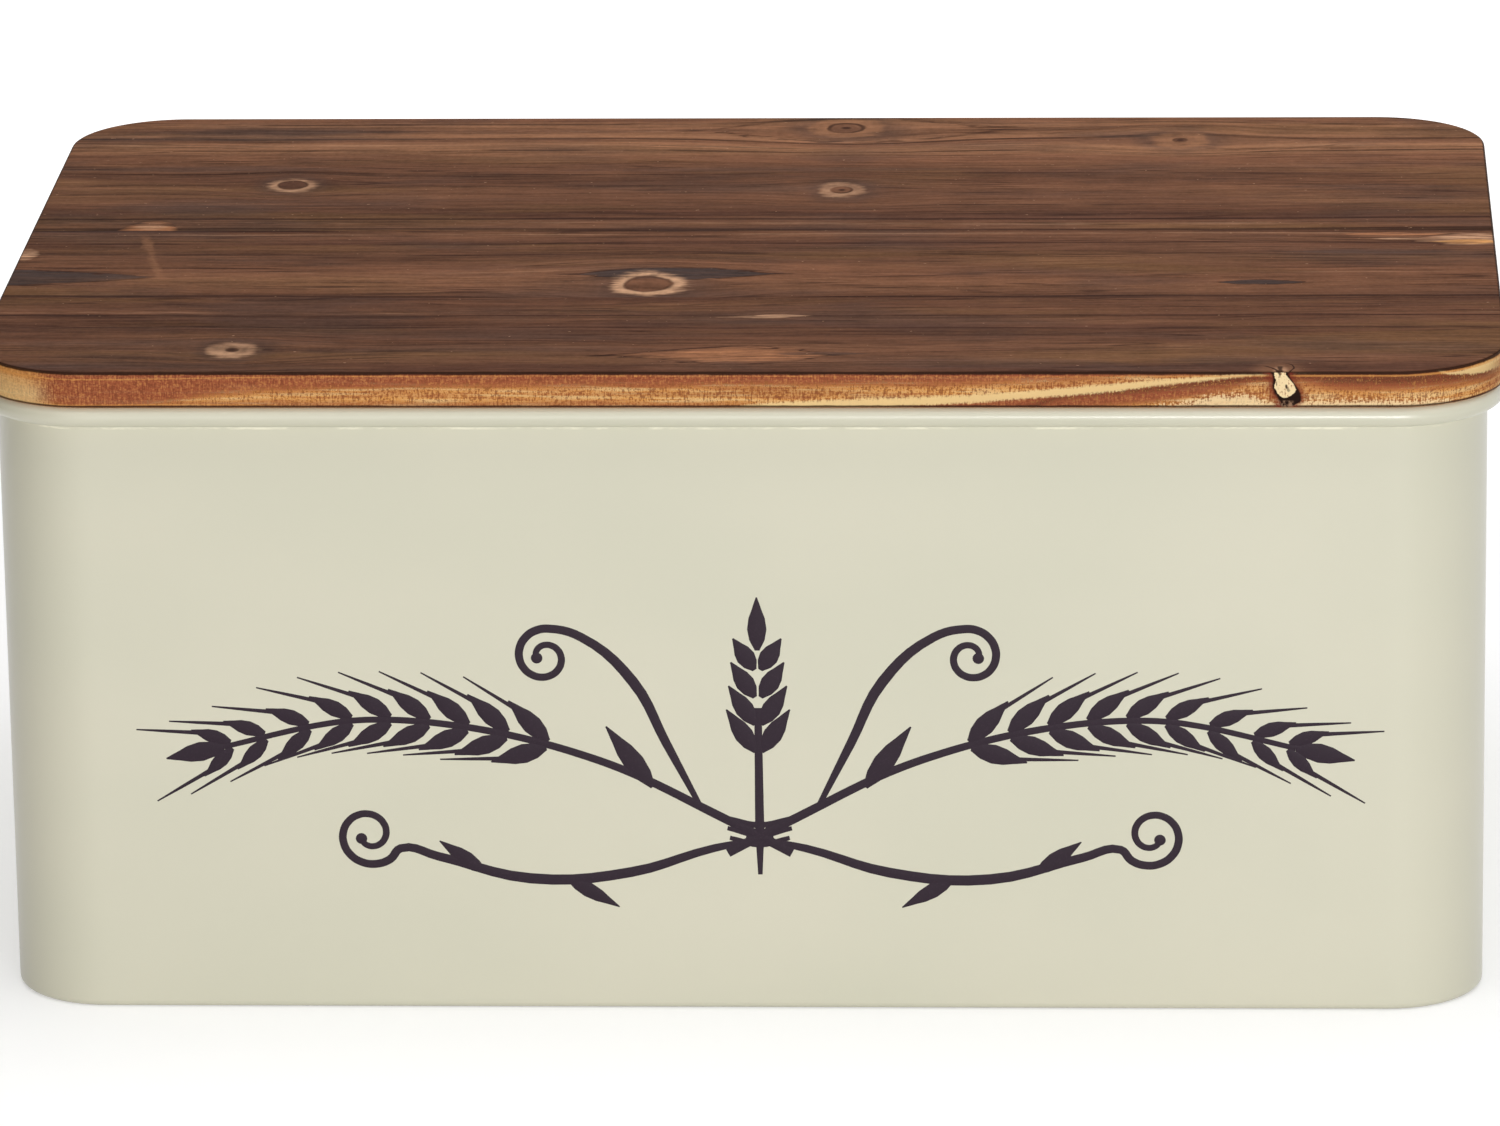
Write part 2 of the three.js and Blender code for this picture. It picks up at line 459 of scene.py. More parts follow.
def noise(place, size, seed=0.0, detail=2.0, roughness=0.5):
    """Noise of about 0 to 1, whose waves are as long as size on each axis."""
    values = {"Vector": place, "Location": (seed, seed * 1.7, seed * 2.3),
              "Scale": tuple(1 / wave for wave in size)}
    turned = out("ShaderNodeMapping", values)
    values = {"Vector": turned, "Scale": 1.0, "Detail": detail, "Roughness": roughness}
    return out("ShaderNodeTexNoise", values, "Fac")


def ramp(value, stops):
    """Colours at stops of 0 to 1."""
    made = put("ShaderNodeValToRGB", [value])
    elements = made.color_ramp.elements
    while len(elements) < len(stops):
        elements.new(1.0)
    for element, (position, shade) in zip(elements, stops):
        element.position = position
    for element, (position, shade) in zip(elements, stops):
        element.color = opaque(shade)
    return Wave(made.outputs[0])


def trace(share, points):
    """A value of 0 to 1 that follows given points along a share of 0 to 1."""
    made = put("ShaderNodeFloatCurve", {"Value": share})
    points = list(points)
    line = made.mapping.curves[0]
    while len(line.points) < len(points):
        line.points.new(0.5, 0.5)
    for index, (along, value) in enumerate(points):
        line.points[index].location = (along, value)
    made.mapping.update()
    return Wave(made.outputs[0])


def new_group(name, results, **inputs):
    """A node group with named sockets: its inputs as waves, and its output node."""
    group = bpy.data.node_groups.new(name, "ShaderNodeTree")
    for key, value in {"place": (0.0, 0.0, 0.0), **inputs}.items():
        kind = "NodeSocketVector" if isinstance(value, tuple) else "NodeSocketFloat"
        socket = group.interface.new_socket(name=title(key), in_out="INPUT", socket_type=kind)
        socket.default_value = value
    for result in results:
        group.interface.new_socket(name=result, in_out="OUTPUT", socket_type="NodeSocketFloat")
    return waves(group.nodes.new("NodeGroupInput").outputs), group.nodes.new("NodeGroupOutput").inputs


def title(key):
    """The name of a group's socket as it is written in a call."""
    return key.replace("_", " ").title()


def give(end, *values):
    """Links a group's results to its output node, in the order of its sockets."""
    for entry, value in zip(end, values):
        link(value, entry)


def use_group(name, **values):
    """Places a node group in a material and returns its outputs."""
    named_values = {title(key): value for key, value in values.items()}
    return waves(put("ShaderNodeGroup", named_values, node_tree=bpy.data.node_groups[name]).outputs)


def new_material(name, **constants):
    """A material with its shader's constants set."""
    material = bpy.data.materials.new(name)
    material.use_nodes = True
    shader = material.node_tree.nodes["Principled BSDF"]
    for key, value in constants.items():
        shader.inputs[key.replace("_", " ")].default_value = value
    return material, shader


def wire(shader, shade, roughness, height, depth):
    """Links what varies to the shader. depth is the height's full depth in metres."""
    link(shade, shader.inputs["Base Color"])
    link(roughness, shader.inputs["Roughness"])
    bump = out("ShaderNodeBump", {"Strength": 1.0, "Distance": depth, "Height": height})
    link(bump, shader.inputs["Normal"])


# Effects shared by the materials

def build_groups():
    """Builds the shared node groups once."""
    if "grain" not in bpy.data.node_groups:
        for build in (group_grain, group_knot, group_mark, group_line, group_coat):
            build()


def group_grain():
    """Growth rings round a far pith, cut by the board, with streaks and fibres along x."""
    given, end = new_group("grain", ("Late Wood", "Streak", "Fibre"),
                           pith_y=0.0, pith_z=-60.0, ring=3.0, wander=5.0, seed=0.0)
    moved = out("ShaderNodeVectorMath", [given["Place"], at(given["Seed"])], operation="ADD")
    _, y, z = parts(moved)
    shift = (noise(moved, (150, 42, 30), 3.1, 2.0, 0.45) - 0.5) * given["Wander"]
    across = y + shift - given["Pith Y"]
    above = z + shift - given["Pith Z"]
    count = calc("SQRT", abs(across) ** 2.0 + abs(above) ** 2.0) / given["Ring"]
    uneven = noise(at(count), (2.2, 1, 1), 9.0, 1.0)
    year = calc("FRACT", count + uneven * 1.6)
    broken = noise(moved, (34, 1.6, 1.6), 5.5, 3.0, 0.6)
    late = fade(year, 0.35, 0.9) * fade(year, 1.0, 0.93) * fade(broken, 0.2, 0.62)
    streak = noise(moved, (120, 3.2, 3.2), 7.7, 3.0, 0.55)
    give(end, late, streak, noise(moved, (7.0, 0.34, 0.34), 1.3, 2.0, 0.6))


def group_knot():
    """A knot cut across: its ring, rim, heart and eye, what surrounds it and how the grain bends."""
    given, end = new_group("knot", ("Ring", "Rim", "Heart", "Eye", "Around", "Bend"),
                           x=0.0, y=0.0, half_width=6.0, half_height=6.0, core=0.5)
    place = given["Place"]
    x, y, _ = parts(place)
    off_x = (x - given["X"]) / given["Half Width"]
    off_y = (y - given["Y"]) / given["Half Height"]
    ragged = noise(place, (6.5, 8.0, 8.0), 2.2, 2.0, 0.55)
    drawn = noise(place, (11.0, 1.3, 1.3), 5.9, 2.0, 0.6)
    radius = radius_of(off_x, off_y) * (ragged * 0.55 + 0.72)
    frayed = radius + (drawn - 0.5) * 0.9
    past_core = radius - given["Core"]
    outside = fade(past_core, -0.05, 0.08)
    patchy = fade(noise(place, (3.4, 3.0, 3.0), 6.6, 2.0, 0.55), 0.3, 0.62)
    patchy = patchy * 0.4 + fade(off_y, 1.0, -0.5) * 0.35
    ring = fade(frayed, 1.25, 0.75) * outside * (patchy + 0.3)
    rim = fade(abs(past_core), 0.12, 0.02) * fade(ragged, 0.3, 0.6)
    heart = (1.0 - outside) * (calc("SINE", radius * 30.0) * 0.14 + 0.82)
    around = fade(radius, 2.1, 1.1) * fade(radius, 0.85, 1.15)
    hump = calc("EXPONENT", (off_x * off_x / 9.0 + off_y * off_y / 3.2) * -1.0)
    bend = hump * off_y * (given["Half Height"] * -0.8)
    give(end, ring, rim, heart, fade(radius, 0.2, 0.06), around, bend)


def group_mark():
    """A flick of other colour along the grain, pointed at both ends; lean moves its belly along."""
    given, end = new_group("mark", ("Mask", "Rim"), x=0.0, y=0.0, half_length=10.0, half_width=3.0,
                           lean=0.0, soft=0.5, streaky=0.5)
    place = given["Place"]
    x, y, _ = parts(place)
    ragged = noise(place, (9, 1.8, 1.8), 4.4, 2.0, 0.6) - 0.5
    off_x = (x - given["X"]) / given["Half Length"] + ragged * 0.45
    off_y = (y - given["Y"]) / given["Half Width"] + ragged * 0.7
    belly = calc("SUBTRACT", 1.0, off_x * off_x, clamp=True) * (1.0 + off_x * given["Lean"])
    inside = belly - abs(off_y)
    streaks = fade(noise(place, (15, 1.1, 1.1), 3.7, 3.0, 0.65), 0.36, 0.58)
    thin = 1.0 - (1.0 - streaks) * given["Streaky"]
    rim = fade(abs(inside), 0.14, 0.02) * fade(abs(off_x), 1.25, 1.0) * fade(ragged, -0.15, 0.08)
    give(end, fade(inside / given["Soft"], -0.1, 1.0) * thin, rim)


def group_line():
    """A thin line along the grain at one y, that comes and goes."""
    given, end = new_group("line", ("Mask",), y=0.0, half_width=0.5, gaps=0.3)
    place = given["Place"]
    waver = noise(place, (60, 300, 300), 6.1, 2.0, 0.5) - 0.5
    off = parts(place)[1] + waver * 1.4 - given["Y"]
    broken = noise(place, (22, 2.5, 2.5), 8.4, 2.0, 0.6)
    give(end, fade(abs(off) / given["Half Width"], 1.3, 0.4) * fade(broken - given["Gaps"], -0.05, 0.25))


def group_coat():
    """Sprayed coat: long soft waves for the tone, fine orange peel for the surface."""
    given, end = new_group("sprayed coat", ("Cloud", "Peel"), peel=1.1)
    place, peel = given["Place"], given["Peel"]
    size = out("ShaderNodeVectorMath", [place, at(peel, peel, peel)], operation="DIVIDE")
    give(end, noise(place, (90, 90, 60), 1.0, 2.0, 0.5), noise(size, (1, 1, 1), 2.0, 2.0, 0.45))


# Finishes

def tones_of(*names):
    """Colours of the finishes by name."""
    finish = bpy.context.scene.breadbox_finish
    return [tuple(getattr(finish, name)) for name in names]


def scaled(tone, *shares, lift=0.0):
    """A colour times one share, or times one for each channel, and no more than 1."""
    shares = shares * 3 if len(shares) == 1 else shares
    return tuple(min(1.0, value * share + lift) for value, share in zip(tone, shares))


def cream_enamel():
    """Satin cream enamel, sprayed and baked, with painted highlight on the curl's crest and in the
    crease under it.
    """
    if "sprayed_cream" in bpy.data.materials:
        return bpy.data.materials["sprayed_cream"]
    material, shader = new_material("sprayed_cream", Roughness=0.34, Coat_Weight=0.3,
                                    Coat_Roughness=0.12)
    place = millimetres(shader)
    coat = use_group("sprayed coat", place=place, peel=1.2)
    base, = tones_of("enamel")
    shade = mix(fade(coat["Cloud"], 0.3, 0.7), scaled(base, 0.97, 0.985, 0.98), scaled(base, 1.02))
    x, y, z = parts(place)
    body = bpy.context.scene.breadbox_body
    corner, over = body.corner / MM, (body.curl - body.sheet) / MM
    past_x = past(x, wall_high.x / MM - over - corner)
    past_y = past(y, wall_high.y / MM - over - corner)
    # Painted highlight: a broken bright hairline on the outside of the wall, in the crease under the
    # curl.
    outside = fade(radius_of(past_x, past_y), corner - 0.6, corner - 0.3)
    under = fade(abs(z - (LID_FOOT - body.curl / MM - 0.8)), 0.4, 0.1)
    broken = fade(noise(place, (8, 8, 2), 4.0, 3.0, 0.7), 0.42, 0.66)
    # Painted light on the curl's crest, which lifts the shade that the lid casts there.
    crest = fade(z, LID_FOOT - 1.9, LID_FOOT - 0.4)
    painted_highlight = calc("MAXIMUM", outside * under * broken, crest * 0.7)
    shade = mix(painted_highlight, shade, scaled(base, 1.2, lift=0.06))
    wire(shader, shade, coat["Cloud"] * 0.08 + 0.3, coat["Peel"], 0.012 * MM)
    return material


def ornament_paint():
    """Dark aubergine paint, printed on thinly."""
    material, shader = new_material("aubergine_paint", Roughness=0.45, Specular_IOR_Level=0.15)
    thin = noise(millimetres(shader), (0.5, 0.5, 0.5), 3.0, 3.0, 0.6)
    base, = tones_of("paint")
    shade = mix(fade(thin, 0.5, 0.8), base, scaled(base, 1.35))
    wire(shader, shade, thin * 0.12 + 0.38, thin, 0.01 * MM)
    return material


def zinc_plate():
    """Bright zinc, a little blotched."""
    material, shader = new_material("zinc_plate", Metallic=1.0, Roughness=0.3)
    blotch = noise(millimetres(shader), (0.8, 0.8, 0.8), 2.0, 3.0, 0.6)
    base, = tones_of("zinc")
    wire(shader, mix(blotch, base, scaled(base, 0.8)), blotch * 0.2 + 0.22, blotch, 0.01 * MM)
    return material


def bare_fir(name, pith, along_y=False):
    """Plain fir under the lid: the wood of the boards where no flame has touched it."""
    material, shader = new_material(name, Roughness=0.62)
    place = millimetres(shader)
    if along_y:
        x, y, z = parts(place)
        place = at(y, x, z)
    grain = use_group("grain", place=place, pith_y=pith[0], pith_z=pith[1], ring=2.6, seed=40.0)
    base, = tones_of("fir")
    late = scaled(base, 0.7, 0.56, 0.42)
    shade = lay(base, (grain["Streak"], scaled(base, 1.22)), (grain["Late Wood"] * 0.6, late),
                (fade(grain["Fibre"], 0.45, 0.75) * 0.25, late))
    height = grain["Fibre"] + grain["Late Wood"] * 0.6
    wire(shader, shade, grain["Fibre"] * 0.15 + 0.54, height, 0.05 * MM)
    return material


# The boards of the lid, in millimetres and in the frame's axes:
# pith, ring and seed: y and z of the pith, width of a year's ring, place in the noise
# tones: y and name of each band's middle, from the front to the back
# lines and light: y, half width and gaps of each dark and each pale line
# marks: x, y, half length, half width, lean, softness, strength, strength of the rim, tone
# knots: x, y, half width, half height, share of the core, strength, tone of the ring, tone of the heart
BOARDS = {
    "front": {
        "pith": (-98.0, 120.0), "ring": 4.2, "seed": 0.0,
        "tones": [(-110, "dark"), (-105, "dark"), (-99, "middle"), (-91, "middle"), (-84, "umber"),
                  (-79, "umber"), (-74, "dark"), (-69, "umber"), (-65.5, "dark"), (-62, "middle"),
                  (-57, "umber"), (-53, "umber"), (-50, "dark")],
        "lines": [(-64.6, 0.6, 0.3), (-69.4, 0.4, 0.5), (-74.6, 0.7, 0.4), (-58.2, 0.4, 0.5),
                  (-87.0, 0.4, 0.5)],
        "light": [(-62.4, 0.7, 0.55), (-90.0, 0.6, 0.55)],
        "marks": [(2.5, -66.2, 9, 1.2, 0.2, 0.35, 0.7, 0.3, "ring"),
                  (8.5, -65.2, 7, 1.3, -0.4, 0.4, 0.7, 0.3, "ring"),
                  (-4.0, -96.6, 24, 6.4, 0.6, 0.5, 0.7, 0.9, "ochre"),
                  (19.0, -95.6, 11, 1.4, -0.5, 0.3, 0.6, 0.3, "smoke"),
                  (-50.0, -92.0, 45, 5.0, 0.0, 0.9, 0.35, 0.0, "smoke"),
                  (4.0, -71.0, 12, 3.0, 0.0, 0.7, 0.3, 0.0, "smoke"),
                  (108.0, -101.0, 22, 6.0, 0.0, 0.8, 0.4, 0.0, "smoke"),
                  (-125.0, -87.0, 50, 5.0, 0.0, 0.9, 0.4, 0.0, "smoke"),
                  (-125.0, -65.0, 50, 3.0, 0.0, 0.9, 0.5, 0.0, "seam"),
                  (-130.0, -105.0, 40, 4.0, 0.0, 0.9, 0.5, 0.0, "smoke")],
        "knots": [(-109.1, -92.4, 5.2, 6.0, 0.22, 0.75, "ring", "warm")],
    },
    "middle": {
        "pith": (-22.0, -40.0), "ring": 5.0, "seed": 37.0,
        "tones": [(-50, "dark"), (-48, "umber"), (-44, "middle"), (-38, "warm"), (-31, "warm"),
                  (-24, "warm"), (-21, "middle"), (-17, "umber"), (-14, "umber"), (-9, "middle"),
                  (-4, "dark"), (1, "middle"), (4, "middle"), (6, "umber"), (7, "seam")],
        "lines": [(-48.8, 0.8, 0.05), (-4.2, 0.7, 0.35), (-14.2, 0.5, 0.4), (-19.5, 0.5, 0.5)],
        "light": [(4.0, 0.6, 0.35), (-29.0, 0.7, 0.5)],
        "marks": [(-163.5, -13.4, 3.4, 6, 0.0, 0.7, 0.8, 0.2, "ring"),
                  (158.0, -1.6, 13, 5.5, 0.4, 0.6, 0.9, 0.5, "ring"),
                  (158.0, -3.6, 9, 2.5, 0.4, 0.6, 0.7, 0.2, "gold"),
                  (142.0, 3.0, 14, 1.6, 0.2, 0.5, 0.7, 0.5, "ochre"),
                  (147.0, -1.0, 12, 1.2, 0.2, 0.5, 0.7, 0.4, "ring"),
                  (113.0, -37.7, 10, 2.1, 0.0, 0.15, 1.1, 0.9, "smoke"),
                  (-163.0, -32.8, 31, 6.4, -0.3, 0.1, 1.1, 0.9, "smoke"),
                  (138.0, -12.0, 22, 2.6, 0.0, 0.6, 0.5, 0.0, "smoke"),
                  (-60.0, -35.0, 120, 8.0, 0.0, 0.9, 0.4, 0.0, "tan"),
                  (-16.0, -30.2, 22, 5.2, -0.2, 0.12, 1.1, 0.9, "smoke")],
        "knots": [(-22.4, -39.0, 8.0, 9.4, 0.66, 1.5, "ring", "warm")],
    },
    "back": {
        "pith": (62.0, 105.0), "ring": 4.6, "seed": 81.0,
        "tones": [(7, "seam"), (8.5, "umber"), (11, "middle"), (14, "middle"), (17, "dark"),
                  (19, "dark"), (22, "dark"), (27, "umber"), (32, "middle"), (38, "middle"),
                  (45, "middle"), (50, "umber"), (56, "umber"), (62, "middle"), (68, "warm"),
                  (74, "warm"), (78, "tan"), (84, "tan"), (88, "warm"), (93, "tan"), (97, "warm"),
                  (102, "tan"), (106, "warm"), (110, "warm")],
        "lines": [(8.0, 0.8, 0.05), (16.8, 0.8, 0.05), (29.0, 0.6, 0.45), (57.0, 0.7, 0.4),
                  (64.0, 0.5, 0.5), (79.0, 0.7, 0.35), (90.0, 0.8, 0.3), (103.0, 0.7, 0.4)],
        "light": [(13.0, 0.9, 0.45), (84.0, 1.2, 0.45), (97.0, 1.0, 0.5)],
        "marks": [(-138.5, 7.6, 7, 8.5, 0.2, 0.6, 1.0, 0.4, "ochre"),
                  (-138.0, 10.5, 4.6, 3.6, 0.0, 0.8, 0.8, 0.0, "ring"),
                  (-128.0, 27.0, 28, 11.0, 0.0, 0.9, 0.6, 0.0, "smoke"),
                  (-120.0, 96.0, 42, 7.0, 0.0, 0.9, 0.6, 0.0, "smoke"),
                  (19.0, 98.0, 34, 11.0, 0.0, 0.8, 0.3, 0.7, "tan"),
                  (80.0, 93.0, 19, 5.0, 0.3, 0.7, 0.6, 0.3, "smoke"),
                  (112.0, 85.0, 22, 6.0, 0.0, 0.7, 0.5, 0.5, "tan"),
                  (141.0, 45.0, 26, 3.4, -0.5, 0.5, 0.6, 0.0, "smoke"),
                  (-130.0, 62.0, 42, 4.5, 0.0, 0.9, 0.5, 0.0, "smoke"),
                  (-60.0, 84.0, 90, 3.5, 0.0, 0.9, 0.4, 0.0, "tan"),
                  (105.0, 47.0, 85, 11.0, 0.0, 0.9, 0.7, 0.0, "warm"),
                  (120.0, 94.0, 60, 7.0, 0.0, 0.9, 0.5, 0.0, "tan"),
                  (-120.0, 90.0, 55, 4.5, 0.0, 0.9, 0.5, 0.0, "smoke"),
                  (0.0, 61.0, 60, 3.5, 0.0, 0.9, 0.45, 0.0, "smoke"),
                  (-40.0, 76.0, 110, 3.0, 0.0, 0.9, 0.5, 0.0, "tan")],
        "knots": [(-109.4, 47.7, 5.0, 5.8, 0.66, 0.75, "ring", "dark"),
                  (16.0, 99.6, 8.2, 9.0, 0.5, 0.9, "tan", "umber"),
                  (94.3, 87.7, 6.4, 7.4, 0.22, 0.95, "tan", "umber"),
                  (17.2, 42.4, 5.2, 6.4, 0.44, 0.6, "ring", "warm")],
    },
}

# Soft patches over the bands: length of the waves on each axis, seed, tone and strength
PATCHES = [((110, 16, 16), 11.0, "olive", 0.65), ((80, 12, 12), 13.0, "tan", 0.25),
           ((60, 18, 18), 19.0, "smoke", 0.4)]
# Streaks that lighten and darken a board: length of the waves on each axis, seed and swing
STREAKS = [((180, 4.0, 4.0), 23.0, 0.95), ((28, 1.6, 1.6), 37.0, 0.95), ((7, 0.9, 0.9), 41.0, 0.85),
           ((1.3, 1.3, 1.3), 43.0, 0.5), ((7, 16, 16), 47.0, 0.35)]
# Levels of the noise at which a hairline runs
HAIRLINES = (0.4, 0.46, 0.52, 0.59)
# A core below this share makes a small knot, and how dark the rim and the eye of either kind are
SMALL_CORE = 0.6
SMALL_KNOT = (0.8, 0.85)
LARGE_KNOT = (0.45, 0.15)


def grain_of(board, place, ring):
    """The grain of a board at a place."""
    facts = BOARDS[board]
    pith_y, pith_z = facts["pith"]
    return use_group("grain", place=place, pith_y=pith_y, pith_z=pith_z, ring=ring, seed=facts["seed"])


def scorched_top(board):
    """The brushed and scorched face of a board, with its own bands, lines, knots and flicks."""
    facts = BOARDS[board]
    seed = facts["seed"]
    material, shader = new_material(f"scorched_top_{board}", Roughness=0.55, Specular_IOR_Level=0.004)
    place = millimetres(shader)
    x, y, z = parts(place)
    seam, smoke, ring_tone = tones_of("seam", "smoke", "ring")
    knots, bent = [], y
    for knot_x, knot_y, half_width, half_height, core, strength, pale, heart in facts["knots"]:
        knot = use_group("knot", place=place, x=knot_x, y=knot_y, half_width=half_width,
                         half_height=half_height, core=core)
        knots.append((knot, strength, *(SMALL_KNOT if core < SMALL_CORE else LARGE_KNOT),
                      *tones_of(pale, heart)))
        bent = bent + knot["Bend"]
    bent = bent + (noise(place, (130, 40, 40), seed + 2.5, 3.0, 0.5) - 0.5) * 5.0
    along = at(x, bent, z)
    grain = grain_of(board, along, facts["ring"])
    low, high = facts["tones"][0][0], facts["tones"][-1][0]
    stops = [((stop - low) / (high - low), *tones_of(tone)) for stop, tone in facts["tones"]]
    shade = ramp((bent - float(low)) / float(high - low), stops)
    for size, number, tone, strength in PATCHES:
        patches = fade(noise(place, size, seed + number, 3.0, 0.55), 0.48, 0.68)
        shade = mix(patches * strength, shade, *tones_of(tone))
    shade = mix(grain["Late Wood"] * 0.15, shade, seam)
    lanes = noise(along, (240, 7.5, 7.5), seed + 29.0, 2.0, 0.5)
    present = fade(noise(along, (50, 7, 7), seed + 31.0, 2.0, 0.5), 0.42, 0.6)
    for level in HAIRLINES:
        shade = mix(fade(abs(lanes - level), 0.012, 0.003) * present * 0.62, shade, seam)
    for tone, strength, lines in ((seam, 0.75, facts["lines"]), (ring_tone, 0.2, facts["light"])):
        for line_y, half_width, gaps in lines:
            line = use_group("line", place=along, y=line_y, half_width=half_width, gaps=gaps)
            shade = mix(line["Mask"] * strength, shade, tone)
    shade = draw_marks(place, shade, facts["marks"])
    for knot, strength, rim, eye, pale, heart in knots:
        shade = lay(shade, (knot["Around"] * 0.35, smoke),
                    (calc("MULTIPLY", knot["Ring"], strength, clamp=True), pale),
                    (knot["Heart"] * 0.8, heart), (knot["Rim"] * rim, seam), (knot["Eye"] * eye, seam))
    if board == "middle":
        shade = scuff(x, y, shade)
    if board == "front":
        shade = knot_top(place, shade)
    gain = fade(x, -150.0, 60.0) * 0.14 + 0.96
    for size, number, swing in STREAKS:
        gain = gain + (noise(along, size, seed + number, 3.0, 0.55) - 0.5) * swing
    shade = mix(1.0, shade, out("ShaderNodeCombineColor", [gain, gain, gain]), "MULTIPLY")
    flecks = noise(place, (1.3, 0.8, 0.8), seed + 21.0, 1.0, 0.4)
    edge = fade(z, LID_TOP - 0.01, LID_TOP - 0.2)
    shade = lay(shade, (fade(flecks, 0.77, 0.83) * 0.6, ring_tone), (edge * 0.9, scaled(seam, 0.6)))
    height = grain["Fibre"] + grain["Late Wood"] * 0.5 + gain * 0.8
    wire(shader, shade, grain["Streak"] * 0.2 + 0.42, height, 0.05 * MM)
    return material


def draw_marks(place, shade, marks):
    """Flicks of other colour, each with a dark rim as strong as its own value says."""
    seam, = tones_of("seam")
    for x, y, half_length, half_width, lean, soft, strength, rim, tone in marks:
        mark = use_group("mark", place=place, x=x, y=y, half_length=half_length, lean=lean,
                         half_width=half_width, soft=soft, streaky=0.25 if tone == "smoke" else 0.8)
        shade = lay(shade, (calc("MULTIPLY", mark["Mask"], strength, clamp=True), *tones_of(tone)),
                    (mark["Rim"] * rim, seam))
    return shade


def scuff(x, y, shade):
    """A faint pale scratch across the grain."""
    off = abs(x + y * 0.2 + 138.0)
    width = noise(at(x, y), (3, 4, 3), 9.0, 2.0, 0.6) * 3.2
    mask = fade(off - width, 0.0, -1.6) * fade(y, 5.0, -1.0) * fade(y, -36.0, -26.0)
    return mix(mask * 0.5, shade, *tones_of("tan"))


# The knot that breaks through the front edge: its x, how far it runs onto the top and half its width
KNOT_X = 117.5
KNOT_REACH = 8.0
KNOT_HALF = 5.0
# The span that its hooks lie in, and how far left of its x that begins
HOOK_SPAN = 10.0
HOOK_LEFT = 5.6
# Its burnt hooks on the top: points [share of the reach, share of the span], half width, last share
KNOT_HOOKS = [
    ([(0.0, 0.42), (0.12, 0.38), (0.35, 0.28), (0.6, 0.12), (1.0, 0.0)], 0.55, 0.62),
    ([(0.0, 0.62), (0.25, 0.72), (0.5, 0.74), (0.75, 0.66), (0.9, 0.5), (1.0, 0.42)], 0.3, 0.92),
    ([(0.0, 0.46), (0.5, 0.45), (1.0, 0.45)], 0.8, 0.6),
]


def knot_top(place, shade):
    """The knot where it runs onto the top: a soft halo, a pale root and its burnt hooks."""
    x, y, _ = parts(place)
    seam, ring_tone, tan = tones_of("seam", "ring", "tan")
    off = x - KNOT_X + (noise(place, (2.4, 2.4, 2.4), 8.0, 2.0, 0.6) - 0.5) * 0.7
    depth = y - LID_FRONT
    halo = fade(radius_of((off + 1.4) / 6.4, depth / 9.5), 1.15, 0.35)
    root = fade(radius_of((off + 1.0) / 2.0, depth / 5.0), 1.1, 0.5)
    shade = lay(shade, (halo * 0.5, tan), (root * 0.5, ring_tone))
    share = depth / KNOT_REACH
    for points, half, stop in KNOT_HOOKS:
        middle = trace(share, points) * HOOK_SPAN - HOOK_LEFT
        line = fade(abs(off - middle), half, half * 0.35) * fade(share, stop, stop - 0.15)
        shade = mix(line * 0.9, shade, seam)
    return shade


# Lines of the figure in the front board's front edge, in millimetres. Each has its points
# [x, height above the foot, half thickness], tone, strength, softness, and the x where it begins.
FRONT_SCORCH = {
    "top": ([(-165, 5.2, 3.2), (-149, 5.2, 3.4), (-138, 4.8, 4.4), (-124, 5.4, 3.9), (-112, 6.2, 2.8),
             (-98, 6.6, 2.1), (-80, 6.8, 1.8), (0, 7.0, 1.5), (30, 7.2, 1.5), (60, 7.4, 1.1),
             (90, 8.1, 0.5), (112, 7.6, 0.2), (124, 6.6, 1.0), (132, 6.2, 1.5), (150, 6.0, 1.5),
             (158, 5.2, 1.2), (165, 3.8, 1.6)], "rust", 0.9, 0.9, -152),
    "foot": ([(-165, -2, 0.1), (-130, -1.0, 0.2), (-118, 0.6, 0.5), (-60, 0.5, 0.6), (-20, 0.5, 0.6),
              (4, 0.2, 0.5), (14, -1.5, 0.2), (165, -2, 0.1)], "rust", 0.5, 0.8, -170),
    "rise": ([(-165, -2, 0.1), (28, -1.0, 0.3), (44, 0.6, 0.9), (62, 1.5, 1.5), (80, 2.7, 1.8),
              (94, 4.2, 1.6), (106, 6.0, 1.1), (114, 7.0, 0.5), (165, 9.5, 0.1)],
             "rust", 0.9, 0.7, -170),
    "burn": ([(-165, -2, 0.1), (54, -1.0, 0.1), (70, 2.7, 0.3), (90, 4.6, 0.4), (106, 6.4, 0.5),
              (114, 7.0, 0.3), (122, 7.0, 0.3), (128, 6.6, 0.7), (146, 6.5, 0.8), (156, 5.8, 0.6),
              (165, 4.4, 0.6)], "seam", 0.65, 0.8, -170),
}
